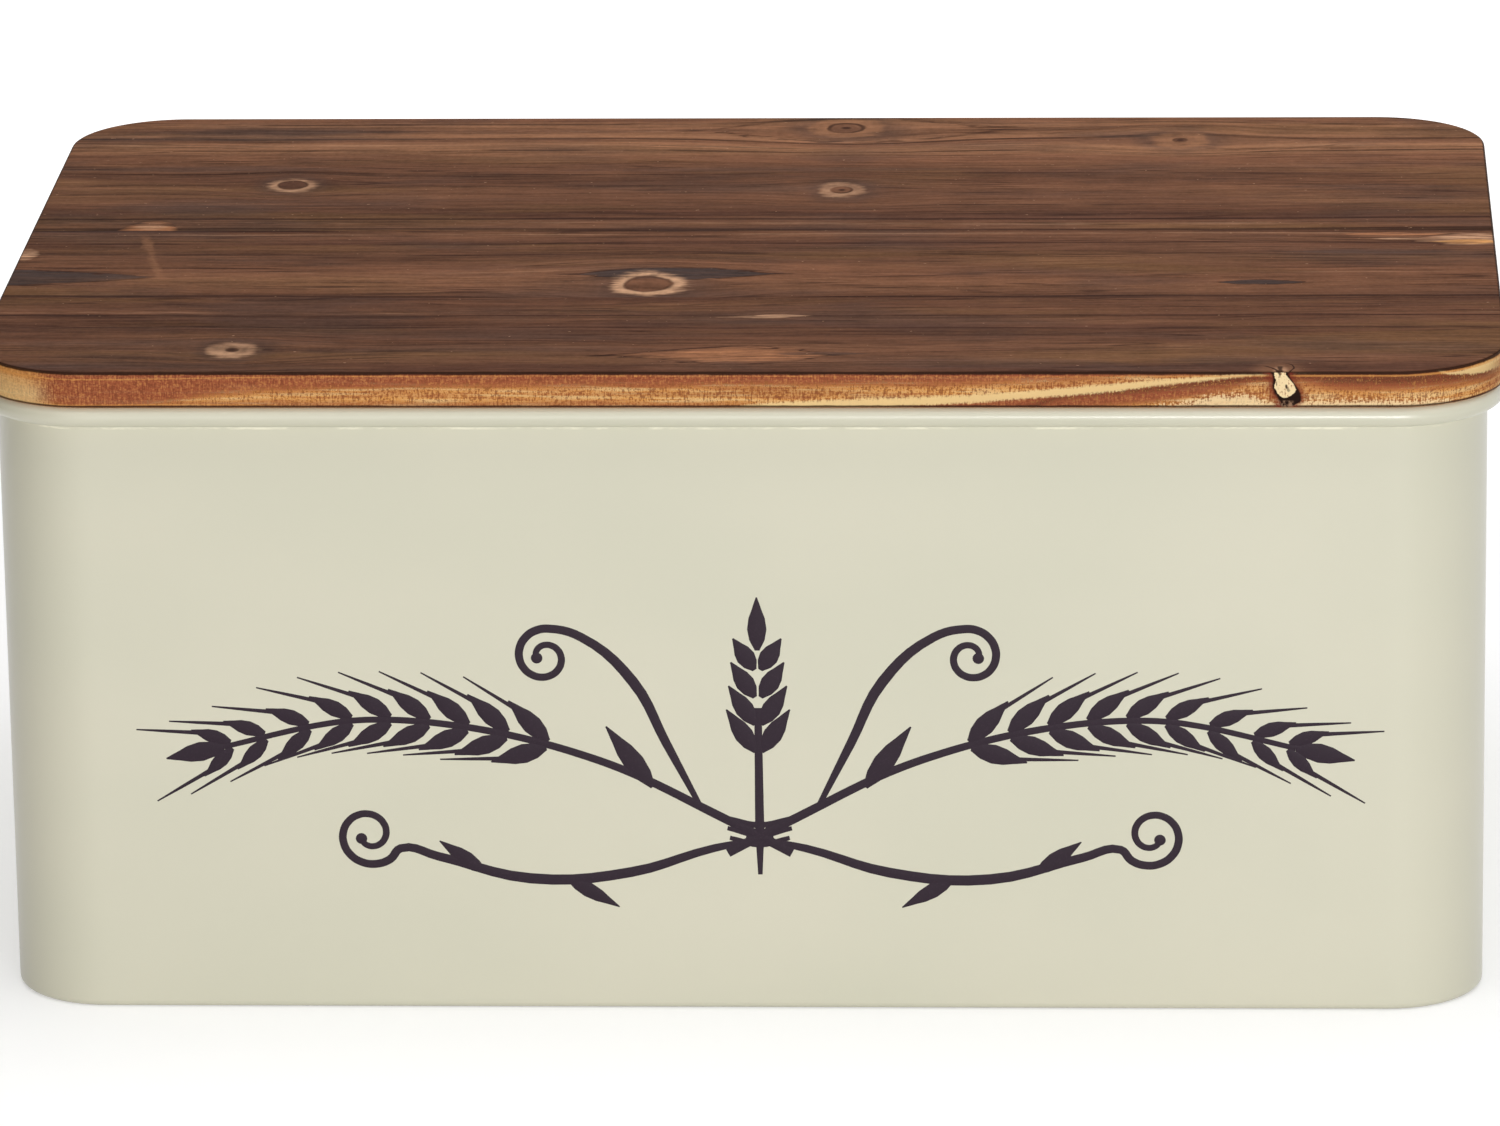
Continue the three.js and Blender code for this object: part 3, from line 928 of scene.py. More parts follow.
FRONT_STREAKS = {
    "rise": ([(-165, -2, 0.1), (-6, -0.6, 0.3), (6, 0.5, 0.6), (26, 1.2, 0.8), (46, 2.0, 0.75),
              (62, 3.1, 0.7), (78, 4.4, 0.7), (92, 5.9, 0.45), (103, 6.9, 0.25), (112, 7.6, 0.1),
              (165, 9.5, 0.1)], "straw", 0.9, 0.5, -170),
    "foot": ([(-165, -1.5, 0.1), (80, -1.5, 0.1), (92, 0.2, 0.2), (98, 0.8, 0.6), (104, 1.5, 1.1),
              (110, 1.5, 1.1), (114, 0.8, 0.5), (124, 0.9, 0.6), (140, 0.9, 0.6), (150, 0.7, 0.4),
              (156, -1.0, 0.1), (165, -1.5, 0.1)], "bone", 0.7, 0.8, -170),
    "corner": ([(-165, 9.5, 0.1), (146, 9.0, 0.1), (152, 7.0, 0.15), (158, 6.5, 0.8), (165, 6.2, 1.2)],
                "straw", 0.85, 0.4, -170),
    # A painted highlight: a thin gold line where the top arris begins to round over.
    "arris": ([(-165, 6.8, 0.3), (-150, 6.6, 0.1), (-130, 6.6, 0.06), (-100, 7.1, 0.04),
               (100, 7.15, 0.06), (118, 7.3, 0.12), (124, 7.3, 0.16), (134, 7.3, 0.12),
               (150, 7.3, 0.18), (165, 7.4, 0.4)],
               "gold", 0.6, 0.15, -170),
    "hem": ([(-165, 0.7, 0.1), (-150, 0.8, 0.1), (-96, 0.7, 0.08), (-84, -1.0, 0.1), (165, -1.0, 0.1)],
             "gold", 0.6, 0.15, -170),
}


# How far below the foot a line can run, from there to its highest, and its greatest half thickness
FIGURE_DROP = 2.0
FIGURE_SPAN = 14.0
FIGURE_HALF = 5.0


def singed_edge(board):
    """The sawn edge of a board: golden wood with reddish scorch, darker along the upper arris, and with
    painted shade along the lower arris where the lid sits on the curl.
    """
    seed = BOARDS[board]["seed"]
    front = board == "front"
    material, shader = new_material(f"singed_edge_{board}", Roughness=0.5, Specular_IOR_Level=0.03)
    place = millimetres(shader)
    x, _, z = parts(place)
    gold, rust, straw, seam = tones_of("gold", "rust", "straw", "seam")
    deep = scaled(rust, 0.6)
    grain = grain_of(board, place, 2.2)
    rise = z - LID_FOOT
    red = rise * (0.03 if front else 0.06) + noise(place, (26, 26, 3.0), seed + 31.0, 3.0, 0.55) * 1.5
    red = calc("SUBTRACT", red, 0.68 if front else 0.5, clamp=True)
    hairs = noise(place, (0.34, 0.34, 1.7), 1.0, 2.0, 0.6)
    dots = noise(place, (0.55, 0.55, 0.36), 5.0, 2.0, 0.6)
    speckle = hairs * 0.5 + dots * 0.5
    bands = noise(place, (20, 20, 0.8), seed + 8.0, 2.0, 0.5)
    shade = lay(gold, (red, rust), (fade(speckle, 0.49, 0.41) * 0.5, straw),
                (fade(bands, 0.5, 0.64) * 0.6, straw), (fade(bands, 0.46, 0.34) * 0.5, rust))
    if front:
        shade = front_figure(place, shade, speckle, FRONT_SCORCH)
    shade = lay(shade, (grain["Late Wood"] * 0.25, rust), (fade(speckle, 0.49, 0.58) * 0.7, deep),
                (fade(speckle, 0.47, 0.39) * 0.4, gold), (fade(grain["Streak"], 0.6, 0.8) * 0.4, deep))
    if front:
        shade = front_figure(place, shade, speckle, FRONT_STREAKS)
        bare = fade(x + speckle * 9.0, -140.5, -147.5)
        shade = mix(bare * 0.55, shade, mix(fade(rise, 7.0, 3.0), gold, straw))
    waver = noise(place, (6, 6, 6), 14.0, 3.0, 0.6) * 0.4
    upper = fade(rise + waver, LID_TOP - LID_FOOT - 0.65, LID_TOP - LID_FOOT - 0.3)
    # Painted shade: a dark line along the lower arris, where the lid sits on the curl.
    lower = fade(rise - waver, 0.75, 0.45)
    shade = lay(shade, (upper * 0.95, scaled(seam, 0.6)), (lower * 0.9, seam))
    if front:
        shade = edge_knot(place, shade, speckle)
    wire(shader, shade, speckle * 0.1 + 0.42, speckle + grain["Late Wood"], 0.04 * MM)
    return material


def seen_in_front(y):
    """A mask of the front edge that ends in its rounded corners."""
    return fade(y, LID_FRONT + 20.0, LID_FRONT + 9.0)


def front_figure(place, shade, speckle, lines):
    """The lines of the front edge, which rise to its knot; soft ones have hairy borders."""
    x, y, z = parts(place)
    on_front = seen_in_front(y)
    rise = z - LID_FOOT
    share = (x + LID_END) / (2 * LID_END)
    grit = (speckle - 0.5) * 11.0
    for points, tone, strength, soft, start in lines.values():
        shares = [(mark + LID_END) / (2 * LID_END) for mark, _, _ in points]
        heights = [(height + FIGURE_DROP) / FIGURE_SPAN for _, height, _ in points]
        halves = [half / FIGURE_HALF for _, _, half in points]
        middle = trace(share, zip(shares, heights)) * FIGURE_SPAN - FIGURE_DROP
        half = trace(share, zip(shares, halves)) * FIGURE_HALF
        hairy = soft if soft > 0.6 else soft * 0.35
        off = abs(rise - middle) - half + grit * hairy
        mask = fade(off, soft, -soft * 0.4) * on_front
        begun = fade(x + grit * 2.0, start - 4.0, start + 4.0)
        shade = mix(mask * begun * strength, shade, *tones_of(tone))
    return shade


# Sides of the knot in the front edge: [height above the foot, x from KNOT_X], in millimetres
KNOT_SIDES = {
    "core_left": [(2.3, -0.1), (2.6, -0.75), (3.2, -1.45), (4.1, -2.05), (4.8, -2.3), (5.7, -2.25),
                  (6.4, -2.15), (7.0, -2.2), (7.6, -2.3), (8.3, -2.45)],
    "core_right": [(2.3, -0.1), (2.7, 0.7), (3.2, 1.5), (3.8, 2.05), (4.4, 2.2), (5.3, 1.8), (6.4, 1.05),
                   (7.2, 0.4), (7.7, 0.15), (8.3, 0.4)],
    "burnt_left": [(0.0, -0.7), (1.2, -1.1), (2.2, -1.6), (3.2, -2.2), (4.4, -2.7), (6.0, -2.75),
                   (7.4, -2.8), (8.3, -3.6)],
    "burnt_right": [(0.0, 0.9), (0.8, 1.9), (1.6, 3.1), (2.6, 3.4), (3.8, 3.1), (4.8, 2.5), (6.0, 1.7),
                    (7.2, 0.9), (8.3, 0.9)],
}
# Dark spots in it: x from KNOT_X, height above the foot, half width, half height and strength
KNOT_SPOTS = [(0.25, 4.9, 0.3, 0.5, 0.95), (0.6, 4.2, 0.4, 0.5, 0.6), (-1.2, 8.4, 0.35, 1.3, 0.9),
              (-1.85, 5.6, 0.14, 0.6, 0.7)]


def edge_knot(place, shade, speckle):
    """The knot in the front edge: a pale core like a vase, in a burnt outline with a grey stub below."""
    x, y, z = parts(place)
    on_front = seen_in_front(y)
    bone, rust, seam, ring_tone = tones_of("bone", "rust", "seam", "ring")
    tall = LID_TOP - LID_FOOT
    rise = z - LID_FOOT
    share = rise / tall
    ragged = noise(place, (1.1, 1.1, 1.1), 12.0, 3.0, 0.65) - 0.5
    off = x - KNOT_X + ragged * 0.9
    sides = {}
    for name, points in KNOT_SIDES.items():
        spots = [(min(height / tall, 1.0), (reach + KNOT_HALF) / (2 * KNOT_HALF))
                 for height, reach in points]
        sides[name] = off + KNOT_HALF - trace(share, spots) * (2 * KNOT_HALF)
    core = fade(sides["core_left"], -0.08, 0.12) * fade(sides["core_right"], 0.08, -0.12)
    core = core * fade(rise, 2.3, 2.6)
    burnt = fade(sides["burnt_left"], -0.3, 0.35) * fade(sides["burnt_right"], 0.3, -0.3)
    halo = fade(sides["burnt_left"], -2.4, 0.2) * fade(sides["burnt_right"], 2.2, -0.4)
    stub = fade(abs(off - 0.5), 1.5, 0.9) * fade(abs(rise - 1.1), 0.9, 0.5) * fade(ragged, -0.12, 0.1)
    cracks = fade(speckle, 0.54, 0.62) * 0.7
    shade = lay(shade, (halo * on_front * 0.85, scaled(rust, 0.55, 0.3, 0.4)),
                (burnt * on_front, scaled(seam, 0.45)), (stub * on_front * 0.5, ring_tone),
                (core * on_front, mix(cracks, bone, rust)))
    for spot_x, spot_z, half_x, half_z, strength in KNOT_SPOTS:
        away = radius_of((off - spot_x) / half_x, (rise - spot_z) / half_z)
        shade = mix(fade(away, 1.3, 0.6) * on_front * strength, shade, seam)
    return shade


# Operators, one for each piece

class BREADBOX_OT_stage(bpy.types.Operator):
    """Set the camera, the floor and the soft studio light"""
    bl_idname = "breadbox.add_stage"
    bl_label = "Stage"

    # Place, width and height in metres, and power in watts
    LAMPS = {"key_light": ((0.55, -2.9, 0.45), (1.1, 0.8), 42.5),
             "top_light": ((0.1, -0.05, 2.2), (1.8, 1.4), 26.0)}
    AIM = (0.0, 0.0, 0.07)
    FLAG_PLACE = (-0.62, -0.3, 0.32)
    FLAG_SIZE = (0.6, 0.9, 1.0)
    # The floor's glow at the box and what it gains farther off, and where that begins and ends
    GLOW_NEAR, GLOW_MORE = 0.44, 0.4
    GLOW_BEGIN, GLOW_END = 0.05, 0.7

    def execute(self, context):
        scene = context.scene
        stage = scene.breadbox_stage
        scene.view_settings.view_transform = "Standard"
        scene.camera = self.add_camera(stage)
        floor = self.add_floor(stage)
        floor.data.materials.append(self.floor_material())
        flag = self.add_flag()
        flag.data.materials.append(self.flag_material())
        self.light_world(scene, stage)
        for name, (place, size, power) in self.LAMPS.items():
            self.add_lamp(name, place, size, power)
        return {"FINISHED"}

    def add_camera(self, stage):
        """The camera at the photograph's angle."""
        azimuth, elevation, roll = stage.azimuth, stage.elevation, stage.roll
        back = Vector((math.sin(azimuth) * math.cos(elevation),
                       -math.cos(azimuth) * math.cos(elevation), math.sin(elevation)))
        side = Vector((math.cos(azimuth), math.sin(azimuth), 0.0))
        rise = back.cross(side)
        right = side * math.cos(roll) + rise * math.sin(roll)
        up = rise * math.cos(roll) - side * math.sin(roll)
        rest_selection()
        bpy.ops.object.camera_add()
        camera = bpy.context.object
        camera.name = "camera"
        camera.data.sensor_width = 36.0
        camera.data.lens = stage.lens
        camera.data.clip_end = 60.0
        turned = Matrix((right, up, back)).transposed().to_4x4()
        camera.matrix_world = Matrix.Translation(Vector(stage.target) + back * stage.distance) @ turned
        return camera

    def add_floor(self, stage):
        """A large pale floor."""
        rest_selection()
        bpy.ops.mesh.primitive_plane_add(size=stage.floor, location=(0, 0, 0))
        return named("studio_floor")

    def add_flag(self):
        """A dark cloth on the left, out of the picture, which gives that corner its shade."""
        rest_selection()
        bpy.ops.mesh.primitive_plane_add(size=1.0, location=self.FLAG_PLACE, scale=self.FLAG_SIZE,
                                         rotation=(0, math.radians(90), 0))
        flag = named("shade_flag")
        flag.visible_camera = False
        return flag

    def flag_material(self):
        """Dull dark cloth."""
        return new_material("flag_cloth", Roughness=0.95, Base_Color=opaque(tint(96, 88, 70)))[0]

    def floor_material(self):
        """Pale floor, lifted to white for the camera, least where the box's shadow lies on it."""
        material, shader = new_material("pale_floor", Roughness=0.9, Specular_IOR_Level=0.1,
                                        Base_Color=opaque((0.7, 0.7, 0.7)), Emission_Color=WHITE)
        x, y, _ = parts(out("ShaderNodeTexCoord", name="Object", tree=shader.id_data))
        away = radius_of(past(x, wall_high.x), past(y, wall_high.y))
        glow = fade(away, self.GLOW_BEGIN, self.GLOW_END) * self.GLOW_MORE + self.GLOW_NEAR
        link(self.seen(shader.id_data) * glow, shader.inputs["Emission Strength"])
        return material

    def seen(self, tree):
        """1 for what the camera sees, straight or by a mirror or glass."""
        path = waves(put("ShaderNodeLightPath", tree=tree).outputs)
        return calc("MAXIMUM", path["Is Camera Ray"],
                    calc("MAXIMUM", path["Is Glossy Ray"], path["Is Transmission Ray"]))

    def light_world(self, scene, stage):
        """Even light from all round, seen as white."""
        scene.world = scene.world or bpy.data.worlds.new("studio")
        scene.world.use_nodes = True
        background = scene.world.node_tree.nodes["Background"]
        background.inputs["Color"].default_value = WHITE
        strength = self.seen(scene.world.node_tree) * (1.0 - stage.ambient) + stage.ambient
        link(strength, background.inputs["Strength"])

    def add_lamp(self, name, place, size, power):
        """A soft rectangular lamp that shines at the box."""
        rest_selection()
        bpy.ops.object.light_add(type="AREA", location=place)
        lamp = bpy.context.object
        lamp.name = name
        lamp.data.shape = "RECTANGLE"
        lamp.data.size, lamp.data.size_y = size
        lamp.data.energy = power
        aim = Vector(self.AIM) - Vector(place)
        lamp.rotation_euler = aim.to_track_quat("-Z", "Y").to_euler()
        lamp.visible_camera = False


class BREADBOX_OT_wall(bpy.types.Operator):
    """Bend the box's wall from one sheet, with its flange and curled rim"""
    bl_idname = "breadbox.add_wall"
    bl_label = "Wall"

    BEND_STEPS = 8
    CURL_STEPS = 32
    FILLET_STEPS = 6
    # How far the fillet's edge is tucked into the wall
    TUCK = 0.1 * MM

    def execute(self, context):
        body = context.scene.breadbox_body
        radius = body.curl / 2
        half_x, half_y = wall_halves(body)
        front = -half_y
        curl_y, curl_z = front - (radius - body.sheet), wall_high.z - radius
        bend_y, bend_z = front + body.foot_bend, body.foot_bend
        wall = add_dot("box_wall", (0, front + body.flange, body.sheet / 2))
        draw((0, body.foot_bend - body.flange, 0))
        turn(-90, (0, bend_y, bend_z), (1, 0, 0), self.BEND_STEPS)
        draw((0, 0, HOLD), (0, 0, curl_z - bend_z - 2 * HOLD), (0, 0, HOLD))
        edge = math.degrees(math.acos((body.slit - radius + body.sheet) / radius))
        turn(180 + edge, (0, curl_y, curl_z), (1, 0, 0), self.CURL_STEPS)
        sweep_round(half_x, half_y, body.corner)
        clean(wall)
        modify(wall, "SOLIDIFY", thickness=body.sheet, offset=0.0, use_even_offset=True)
        fillet = self.add_fillet(body, half_x, half_y)
        only(wall)
        fillet.select_set(True)
        bpy.ops.object.join()
        smooth(wall)
        wall.data.materials.append(cream_enamel())
        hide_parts("body_wall")
        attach(wall, "box")
        return {"FINISHED"}

    def add_fillet(self, body, half_x, half_y):
        """The small hollow of enamel that bridges the slit between the curl and the wall."""
        radius, hollow = body.curl / 2, body.coat_fillet
        front, curl_z = -half_y, wall_high.z - body.curl / 2
        aside = radius - body.sheet - hollow
        drop = math.sqrt((radius + hollow) ** 2 - aside ** 2)
        low = curl_z - drop
        sweep = 180 - math.degrees(math.atan2(drop, aside))
        fillet = add_dot("coat_fillet", (0, front, low))
        turn(sweep, (0, front - hollow, low), (1, 0, 0), self.FILLET_STEPS)
        inside = body.sheet / 2
        reach = hollow + hollow * math.cos(math.radians(180 - sweep))
        rise = hollow * math.sin(math.radians(180 - sweep))
        draw((0, -self.TUCK, inside), (0, reach + self.TUCK + inside, 0), (0, 0, -rise - inside))
        bpy.ops.mesh.select_all(action="SELECT")
        self.close_line(fillet)
        sweep_round(half_x, half_y, body.corner)
        return clean(fillet)

    def close_line(self, piece):
        """Joins the two ends of a drawn line."""
        bpy.ops.object.mode_set(mode="OBJECT")
        used = [index for edge in piece.data.edges for index in edge.vertices]
        ends = {index for index in used if used.count(index) == 1}
        for vertex in piece.data.vertices:
            vertex.select = vertex.index in ends
        bpy.ops.object.mode_set(mode="EDIT")
        bpy.ops.mesh.edge_face_add()


class BREADBOX_OT_lap(bpy.types.Operator):
    """Lay the wall's welded lap up the middle of the back"""
    bl_idname = "breadbox.add_lap"
    bl_label = "Welded lap"

    # Distance from the foot bend and the curl, rounding of either edge, and the weld's dimples
    MARGIN = 1.5 * MM
    SLOPE_EDGE = 0.8 * MM
    CUT_EDGE = 0.3 * MM
    DIMPLES = 9
    DIMPLE_RADIUS = 9 * MM

    def execute(self, context):
        body = context.scene.breadbox_body
        face = wall_halves(body)[1]
        outer = face + body.sheet
        low_z = body.foot_bend + self.MARGIN
        high_z = wall_high.z - body.curl - self.MARGIN
        half = body.lap / 2
        sunk = body.sheet / 2
        slope = body.joggle / body.sheet * (body.sheet + sunk)
        lap = add_block("welded_lap", (-half, face - sunk, low_z), (half, outer, high_z))
        pick(lap, "VERT", lambda ends: near(ends[0].y, face - sunk) and ends[0].x < 0)
        bpy.ops.transform.translate(value=(-slope, 0, 0))
        pick(lap, "EDGE", lambda ends: lie_at(ends, x=-half, y=outer))
        bevel(self.SLOPE_EDGE, EASE_STEPS)
        pick(lap, "EDGE", lambda ends: lie_at(ends, x=half, y=outer))
        bevel(self.CUT_EDGE, EASE_STEPS)
        bpy.ops.object.mode_set(mode="OBJECT")
        heights = [low_z + (spot + 0.5) * (high_z - low_z) / self.DIMPLES
                   for spot in range(self.DIMPLES)]
        carve(lap, [self.dimple(body, outer, height) for height in heights])
        smooth(lap, degrees=25)
        lap.data.materials.append(cream_enamel())
        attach(lap, "box")
        return {"FINISHED"}

    def dimple(self, body, outer, height):
        """A ball that cuts a spot weld's dimple into the outer face."""
        ball = self.DIMPLE_RADIUS
        sink = ball - math.sqrt(ball ** 2 - (body.weld / 2) ** 2)
        rest_selection()
        bpy.ops.mesh.primitive_uv_sphere_add(segments=64, ring_count=48, radius=ball,
                                             location=(0, outer + ball - sink, height))
        return named("dimple_cutter")


class BREADBOX_OT_bottom(bpy.types.Operator):
    """Press the bottom panel, with its raised field and turned-up rim"""
    bl_idname = "breadbox.add_bottom"
    bl_label = "Bottom panel"

    # Bends of the step up to the field, their radius and slope, and the bend under the rim
    STEP_RADIUS = 2.2 * MM
    STEP_SLOPE = 45.0
    STEP_BEND_STEPS = 4
    RIM_BEND_STEPS = 6

    def execute(self, context):
        body = context.scene.breadbox_body
        panel = context.scene.breadbox_panel
        half_x, half_y = wall_halves(body)
        low, soft, slope = body.sheet, self.STEP_RADIUS, self.STEP_SLOPE
        outer = -half_y + body.sheet + panel.gap
        margin_in = outer + panel.margin
        margin_z = low + body.sheet / 2
        field_in, field_z = margin_in + panel.rise, margin_z + panel.rise
        reach = soft * math.tan(math.radians(slope / 2))
        bottom = add_dot("bottom_panel", (0, field_in, field_z))
        bpy.ops.transform.translate(value=(0, reach, 0))
        turn(slope, (0, field_in + reach, field_z - soft), (1, 0, 0), self.STEP_BEND_STEPS)
        down = (panel.rise * math.sqrt(2) - 2 * reach) * math.sin(math.radians(slope))
        draw((0, -down, -down))
        turn(-slope, (0, margin_in - reach, margin_z + soft), (1, 0, 0), self.STEP_BEND_STEPS)
        draw((0, outer + panel.bend - (margin_in - reach), 0))
        turn(-90, (0, outer + panel.bend, low + panel.bend), (1, 0, 0), self.RIM_BEND_STEPS)
        draw((0, 0, panel.rim - panel.bend))
        sweep_round(half_x, half_y, body.corner)
        clean(bottom)
        inside = half_y + field_in + reach
        pick(bottom, "EDGE", lambda ends: all(
            near(point.z, field_z, 0.01 * MM) and self.inmost(point, half_x, half_y, body.corner, inside)
            for point in ends))
        bpy.ops.mesh.edge_face_add()
        bpy.ops.mesh.inset(thickness=MM)
        bpy.ops.mesh.select_all(action="SELECT")
        bpy.ops.mesh.normals_make_consistent(inside=False)
        bpy.ops.object.mode_set(mode="OBJECT")
        if max(len(face.vertices) for face in bottom.data.polygons) < 3 * CORNER_STEPS:
            raise RuntimeError("the field of the bottom panel did not close")
        modify(bottom, "SOLIDIFY", thickness=body.sheet, offset=0.0, use_even_offset=True)
        smooth(bottom)
        bottom.data.materials.append(cream_enamel())
        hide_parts("base_panel")
        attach(bottom, "box")
        return {"FINISHED"}

    def inmost(self, point, half_x, half_y, radius, inside):
        """Whether a point lies on the innermost loop, which is inside the outline by a fixed way."""
        off_x = max(abs(point.x) - (half_x - radius), 0)
        off_y = max(abs(point.y) - (half_y - radius), 0)
        slack = 0.05 * MM
        if off_x and off_y:
            return near(math.hypot(off_x, off_y), radius - inside, slack)
        return near(abs(point.x), half_x - inside, slack) or near(abs(point.y), half_y - inside, slack)


class BREADBOX_OT_boards(bpy.types.Operator):
    """Shape the lid as one slab and part it into its three glued boards"""
    bl_idname = "breadbox.add_boards"
    bl_label = "Lid boards"

    JOINT_STEPS = 2
    # A face whose normal is steeper than this is top or underside, and else it is edge
    LEVEL = 0.6

    def execute(self, context):
        lid = context.scene.breadbox_lid
        low, high = front_low, back_high
        slab = add_block("lid_slab", low, high)
        pick(slab, "EDGE", upright)
        bevel(lid.corner, CORNER_STEPS)
        for level in (low.z, high.z):
            pick(slab, "EDGE", lambda ends: lie_at(ends, z=level))
            bevel(lid.arris, EASE_STEPS)
        bpy.ops.object.mode_set(mode="OBJECT")
        spans = {"front": (None, front_high.y), "middle": (middle_low.y, middle_high.y),
                 "back": (back_low.y, None)}
        for name, (start, stop) in spans.items():
            board = twin(slab, f"lid_board_{name}")
            for cut, keeps_back in ((start, True), (stop, False)):
                if cut is not None:
                    self.saw(cut, keeps_back)
                    pick(board, "EDGE", lambda ends: lie_at(ends, y=cut, z=high.z)
                         or lie_at(ends, y=cut, z=low.z))
                    bevel(lid.joint, self.JOINT_STEPS)
                    bpy.ops.object.mode_set(mode="OBJECT")
            clean(board)
            smooth(board, degrees=30)
            self.paint(board, name)
            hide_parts(f"lid_stave_{name}")
            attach(board, "lid")
        bpy.data.objects.remove(slab)
        return {"FINISHED"}

    def saw(self, cut, keeps_back):
        """Cuts the active board along the lid at one y and keeps what lies behind or before it."""
        select_all()
        bpy.ops.mesh.bisect(plane_co=(0, cut, 0), plane_no=(0, 1, 0), use_fill=True,
                            clear_inner=keeps_back, clear_outer=not keeps_back)
        bpy.ops.object.mode_set(mode="OBJECT")

    def paint(self, board, name):
        """Top, edge and underside each get their own finish."""
        for finish in (scorched_top(name), singed_edge(name),
                       bare_fir(f"lid_underside_{name}", BOARDS[name]["pith"])):
            board.data.materials.append(finish)
        for face in board.data.polygons:
            level = abs(face.normal.z) > self.LEVEL
            face.material_index = (0 if face.normal.z > 0 else 2) if level else 1


# Heights of a screw's head, below and in its cone, and of its point; steps round it
HEAD_RIM = 0.5 * MM
HEAD_CONE = 1.7 * MM
SCREW_POINT = 2.2 * MM
SCREW_STEPS = 32


def screw_places(side):
    """The feet of the screws of one batten, from the frame."""
    places = []
    for board in BOARDS:
        low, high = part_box(f"lid_screw_{side}_{board}")
        places.append(((low.x + high.x) / 2, (low.y + high.y) / 2, low.z))
    return places


class BREADBOX_OT_battens(bpy.types.Operator):
    """Make the two battens under the lid, with countersunk holes"""
    bl_idname = "breadbox.add_battens"
    bl_label = "Battens"

    # Pith of the wood in millimetres, and room for a screw's hole below its head and up its shank
    PITH = (150.0, 180.0)
    ROOM_BELOW = 2 * MM
    ROOM_ABOVE = 12 * MM
    OUTER_STEPS = 16
    CHAMFER_STEPS = 3

    def execute(self, context):
        lid = context.scene.breadbox_lid
        body = context.scene.breadbox_body
        low, high = batten_low, batten_high
        batten = add_block("batten_right", low, high)
        pick(batten, "EDGE", lambda ends: lie_at(ends, x=high.x) and upright(ends))
        bevel(body.corner - (wall_halves(body)[0] - high.x), self.OUTER_STEPS)
        pick(batten, "EDGE", lambda ends: lie_at(ends, z=low.z))
        bevel(lid.chamfer, self.CHAMFER_STEPS)
        bpy.ops.object.mode_set(mode="OBJECT")
        carve(batten, [self.hole(lid, place) for place in screw_places("right")])
        smooth(batten, degrees=30)
        batten.data.materials.append(bare_fir("batten_fir", self.PITH, along_y=True))
        left = twin(batten, "batten_left")
        select_all()
        bpy.ops.transform.rotate(value=math.pi, orient_axis="Z", center_override=(0, 0, 0))
        bpy.ops.object.mode_set(mode="OBJECT")
        for piece, side in ((batten, "right"), (left, "left")):
            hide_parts(f"lid_batten_{side}")
            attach(piece, "lid")
        return {"FINISHED"}

    def hole(self, lid, place):
        """A cutter in the shape of a screw with play all round, and longer at both ends."""
        head = lid.head / 2 + lid.play
        shank = lid.shank / 2 + lid.play
        x, y, z = place
        cutter = add_dot("hole_cutter", (x, y, z - self.ROOM_BELOW))
        draw((head, 0, 0), (0, 0, self.ROOM_BELOW + HEAD_RIM), (shank - head, 0, HEAD_CONE),
             (0, 0, self.ROOM_ABOVE), (-shank, 0, 0))
        bpy.ops.mesh.select_all(action="SELECT")
        turn(360, (x, y, z), (0, 0, 1), SCREW_STEPS)
        return clean(cutter)


class BREADBOX_OT_screws(bpy.types.Operator):
    """Turn one countersunk screw with a cross recess and set six of them"""
    bl_idname = "breadbox.add_screws"
    bl_label = "Screws"

    # Easing of the head's rim; the recess: half length, half width and depth of a blade, and its tip
    EASE = 0.2 * MM
    BLADE = (2.0, 0.42, 1.5)
    TIP = 0.45

    def execute(self, context):
        lid = context.scene.breadbox_lid
        head, shank, ease = lid.head / 2, lid.shank / 2, self.EASE
        low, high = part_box("lid_screw_left_front")
        tall = high.z - low.z
        screw = add_dot("screw_pattern", (0, 0, 0))
        draw((head - ease, 0, 0), (ease, 0, ease), (0, 0, HEAD_RIM - ease), (shank - head, 0, HEAD_CONE),
             (0, 0, tall - HEAD_RIM - HEAD_CONE - SCREW_POINT), (-shank, 0, SCREW_POINT))
        bpy.ops.mesh.select_all(action="SELECT")
        turn(360, (0, 0, 0), (0, 0, 1), SCREW_STEPS)
        clean(screw)
        long, wide, deep = self.BLADE
        halves = [Vector((long, wide, deep)) * MM, Vector((wide, long, deep)) * MM]
        carve(screw, [self.blade(half) for half in halves])
        smooth(screw, degrees=40)
        screw.data.materials.append(zinc_plate())
        for side in ("left", "right"):
            for board, place in zip(BOARDS, screw_places(side)):
                piece = twin(screw, f"screw_{side}_{board}", place)
                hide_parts(f"lid_screw_{side}_{board}")
                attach(piece, "lid")
        bpy.data.objects.remove(screw)
        return {"FINISHED"}

    def blade(self, half):
        """One blade of the cross recess, narrower at its tip."""
        blade = add_block("recess_cutter", -half, half)
        pick(blade, "VERT", lambda ends: ends[0].z > 0)
        bpy.ops.transform.resize(value=(self.TIP, self.TIP, 1.0), center_override=(0, 0, half.z))
        bpy.ops.object.mode_set(mode="OBJECT")
        return blade


# The ornament: each stroke is [x, z, half width] in millimetres from the ornament's middle

# A tendril's coil: steps in one turn, and the shares of radius and width that it loses to its end
COIL_STEPS = 14
COIL_SHRINK = 0.74
COIL_TAPER = 0.3


def ahead(x, z, heading, reach):
    """The point at a distance in a heading."""
    return x + reach * math.cos(heading), z + reach * math.sin(heading)


def spiral(x, z, radius, start, turns, width):
    """Points that wind inwards."""
    steps = int(abs(turns) * COIL_STEPS)
    points = []
    for step in range(steps + 1):
        share = step / steps
        angle = math.radians(start) + turns * 2 * math.pi * share
        place = ahead(x, z, angle, radius * (1 - COIL_SHRINK * share))
        points.append((*place, width * (1 - COIL_TAPER * share)))
    return points


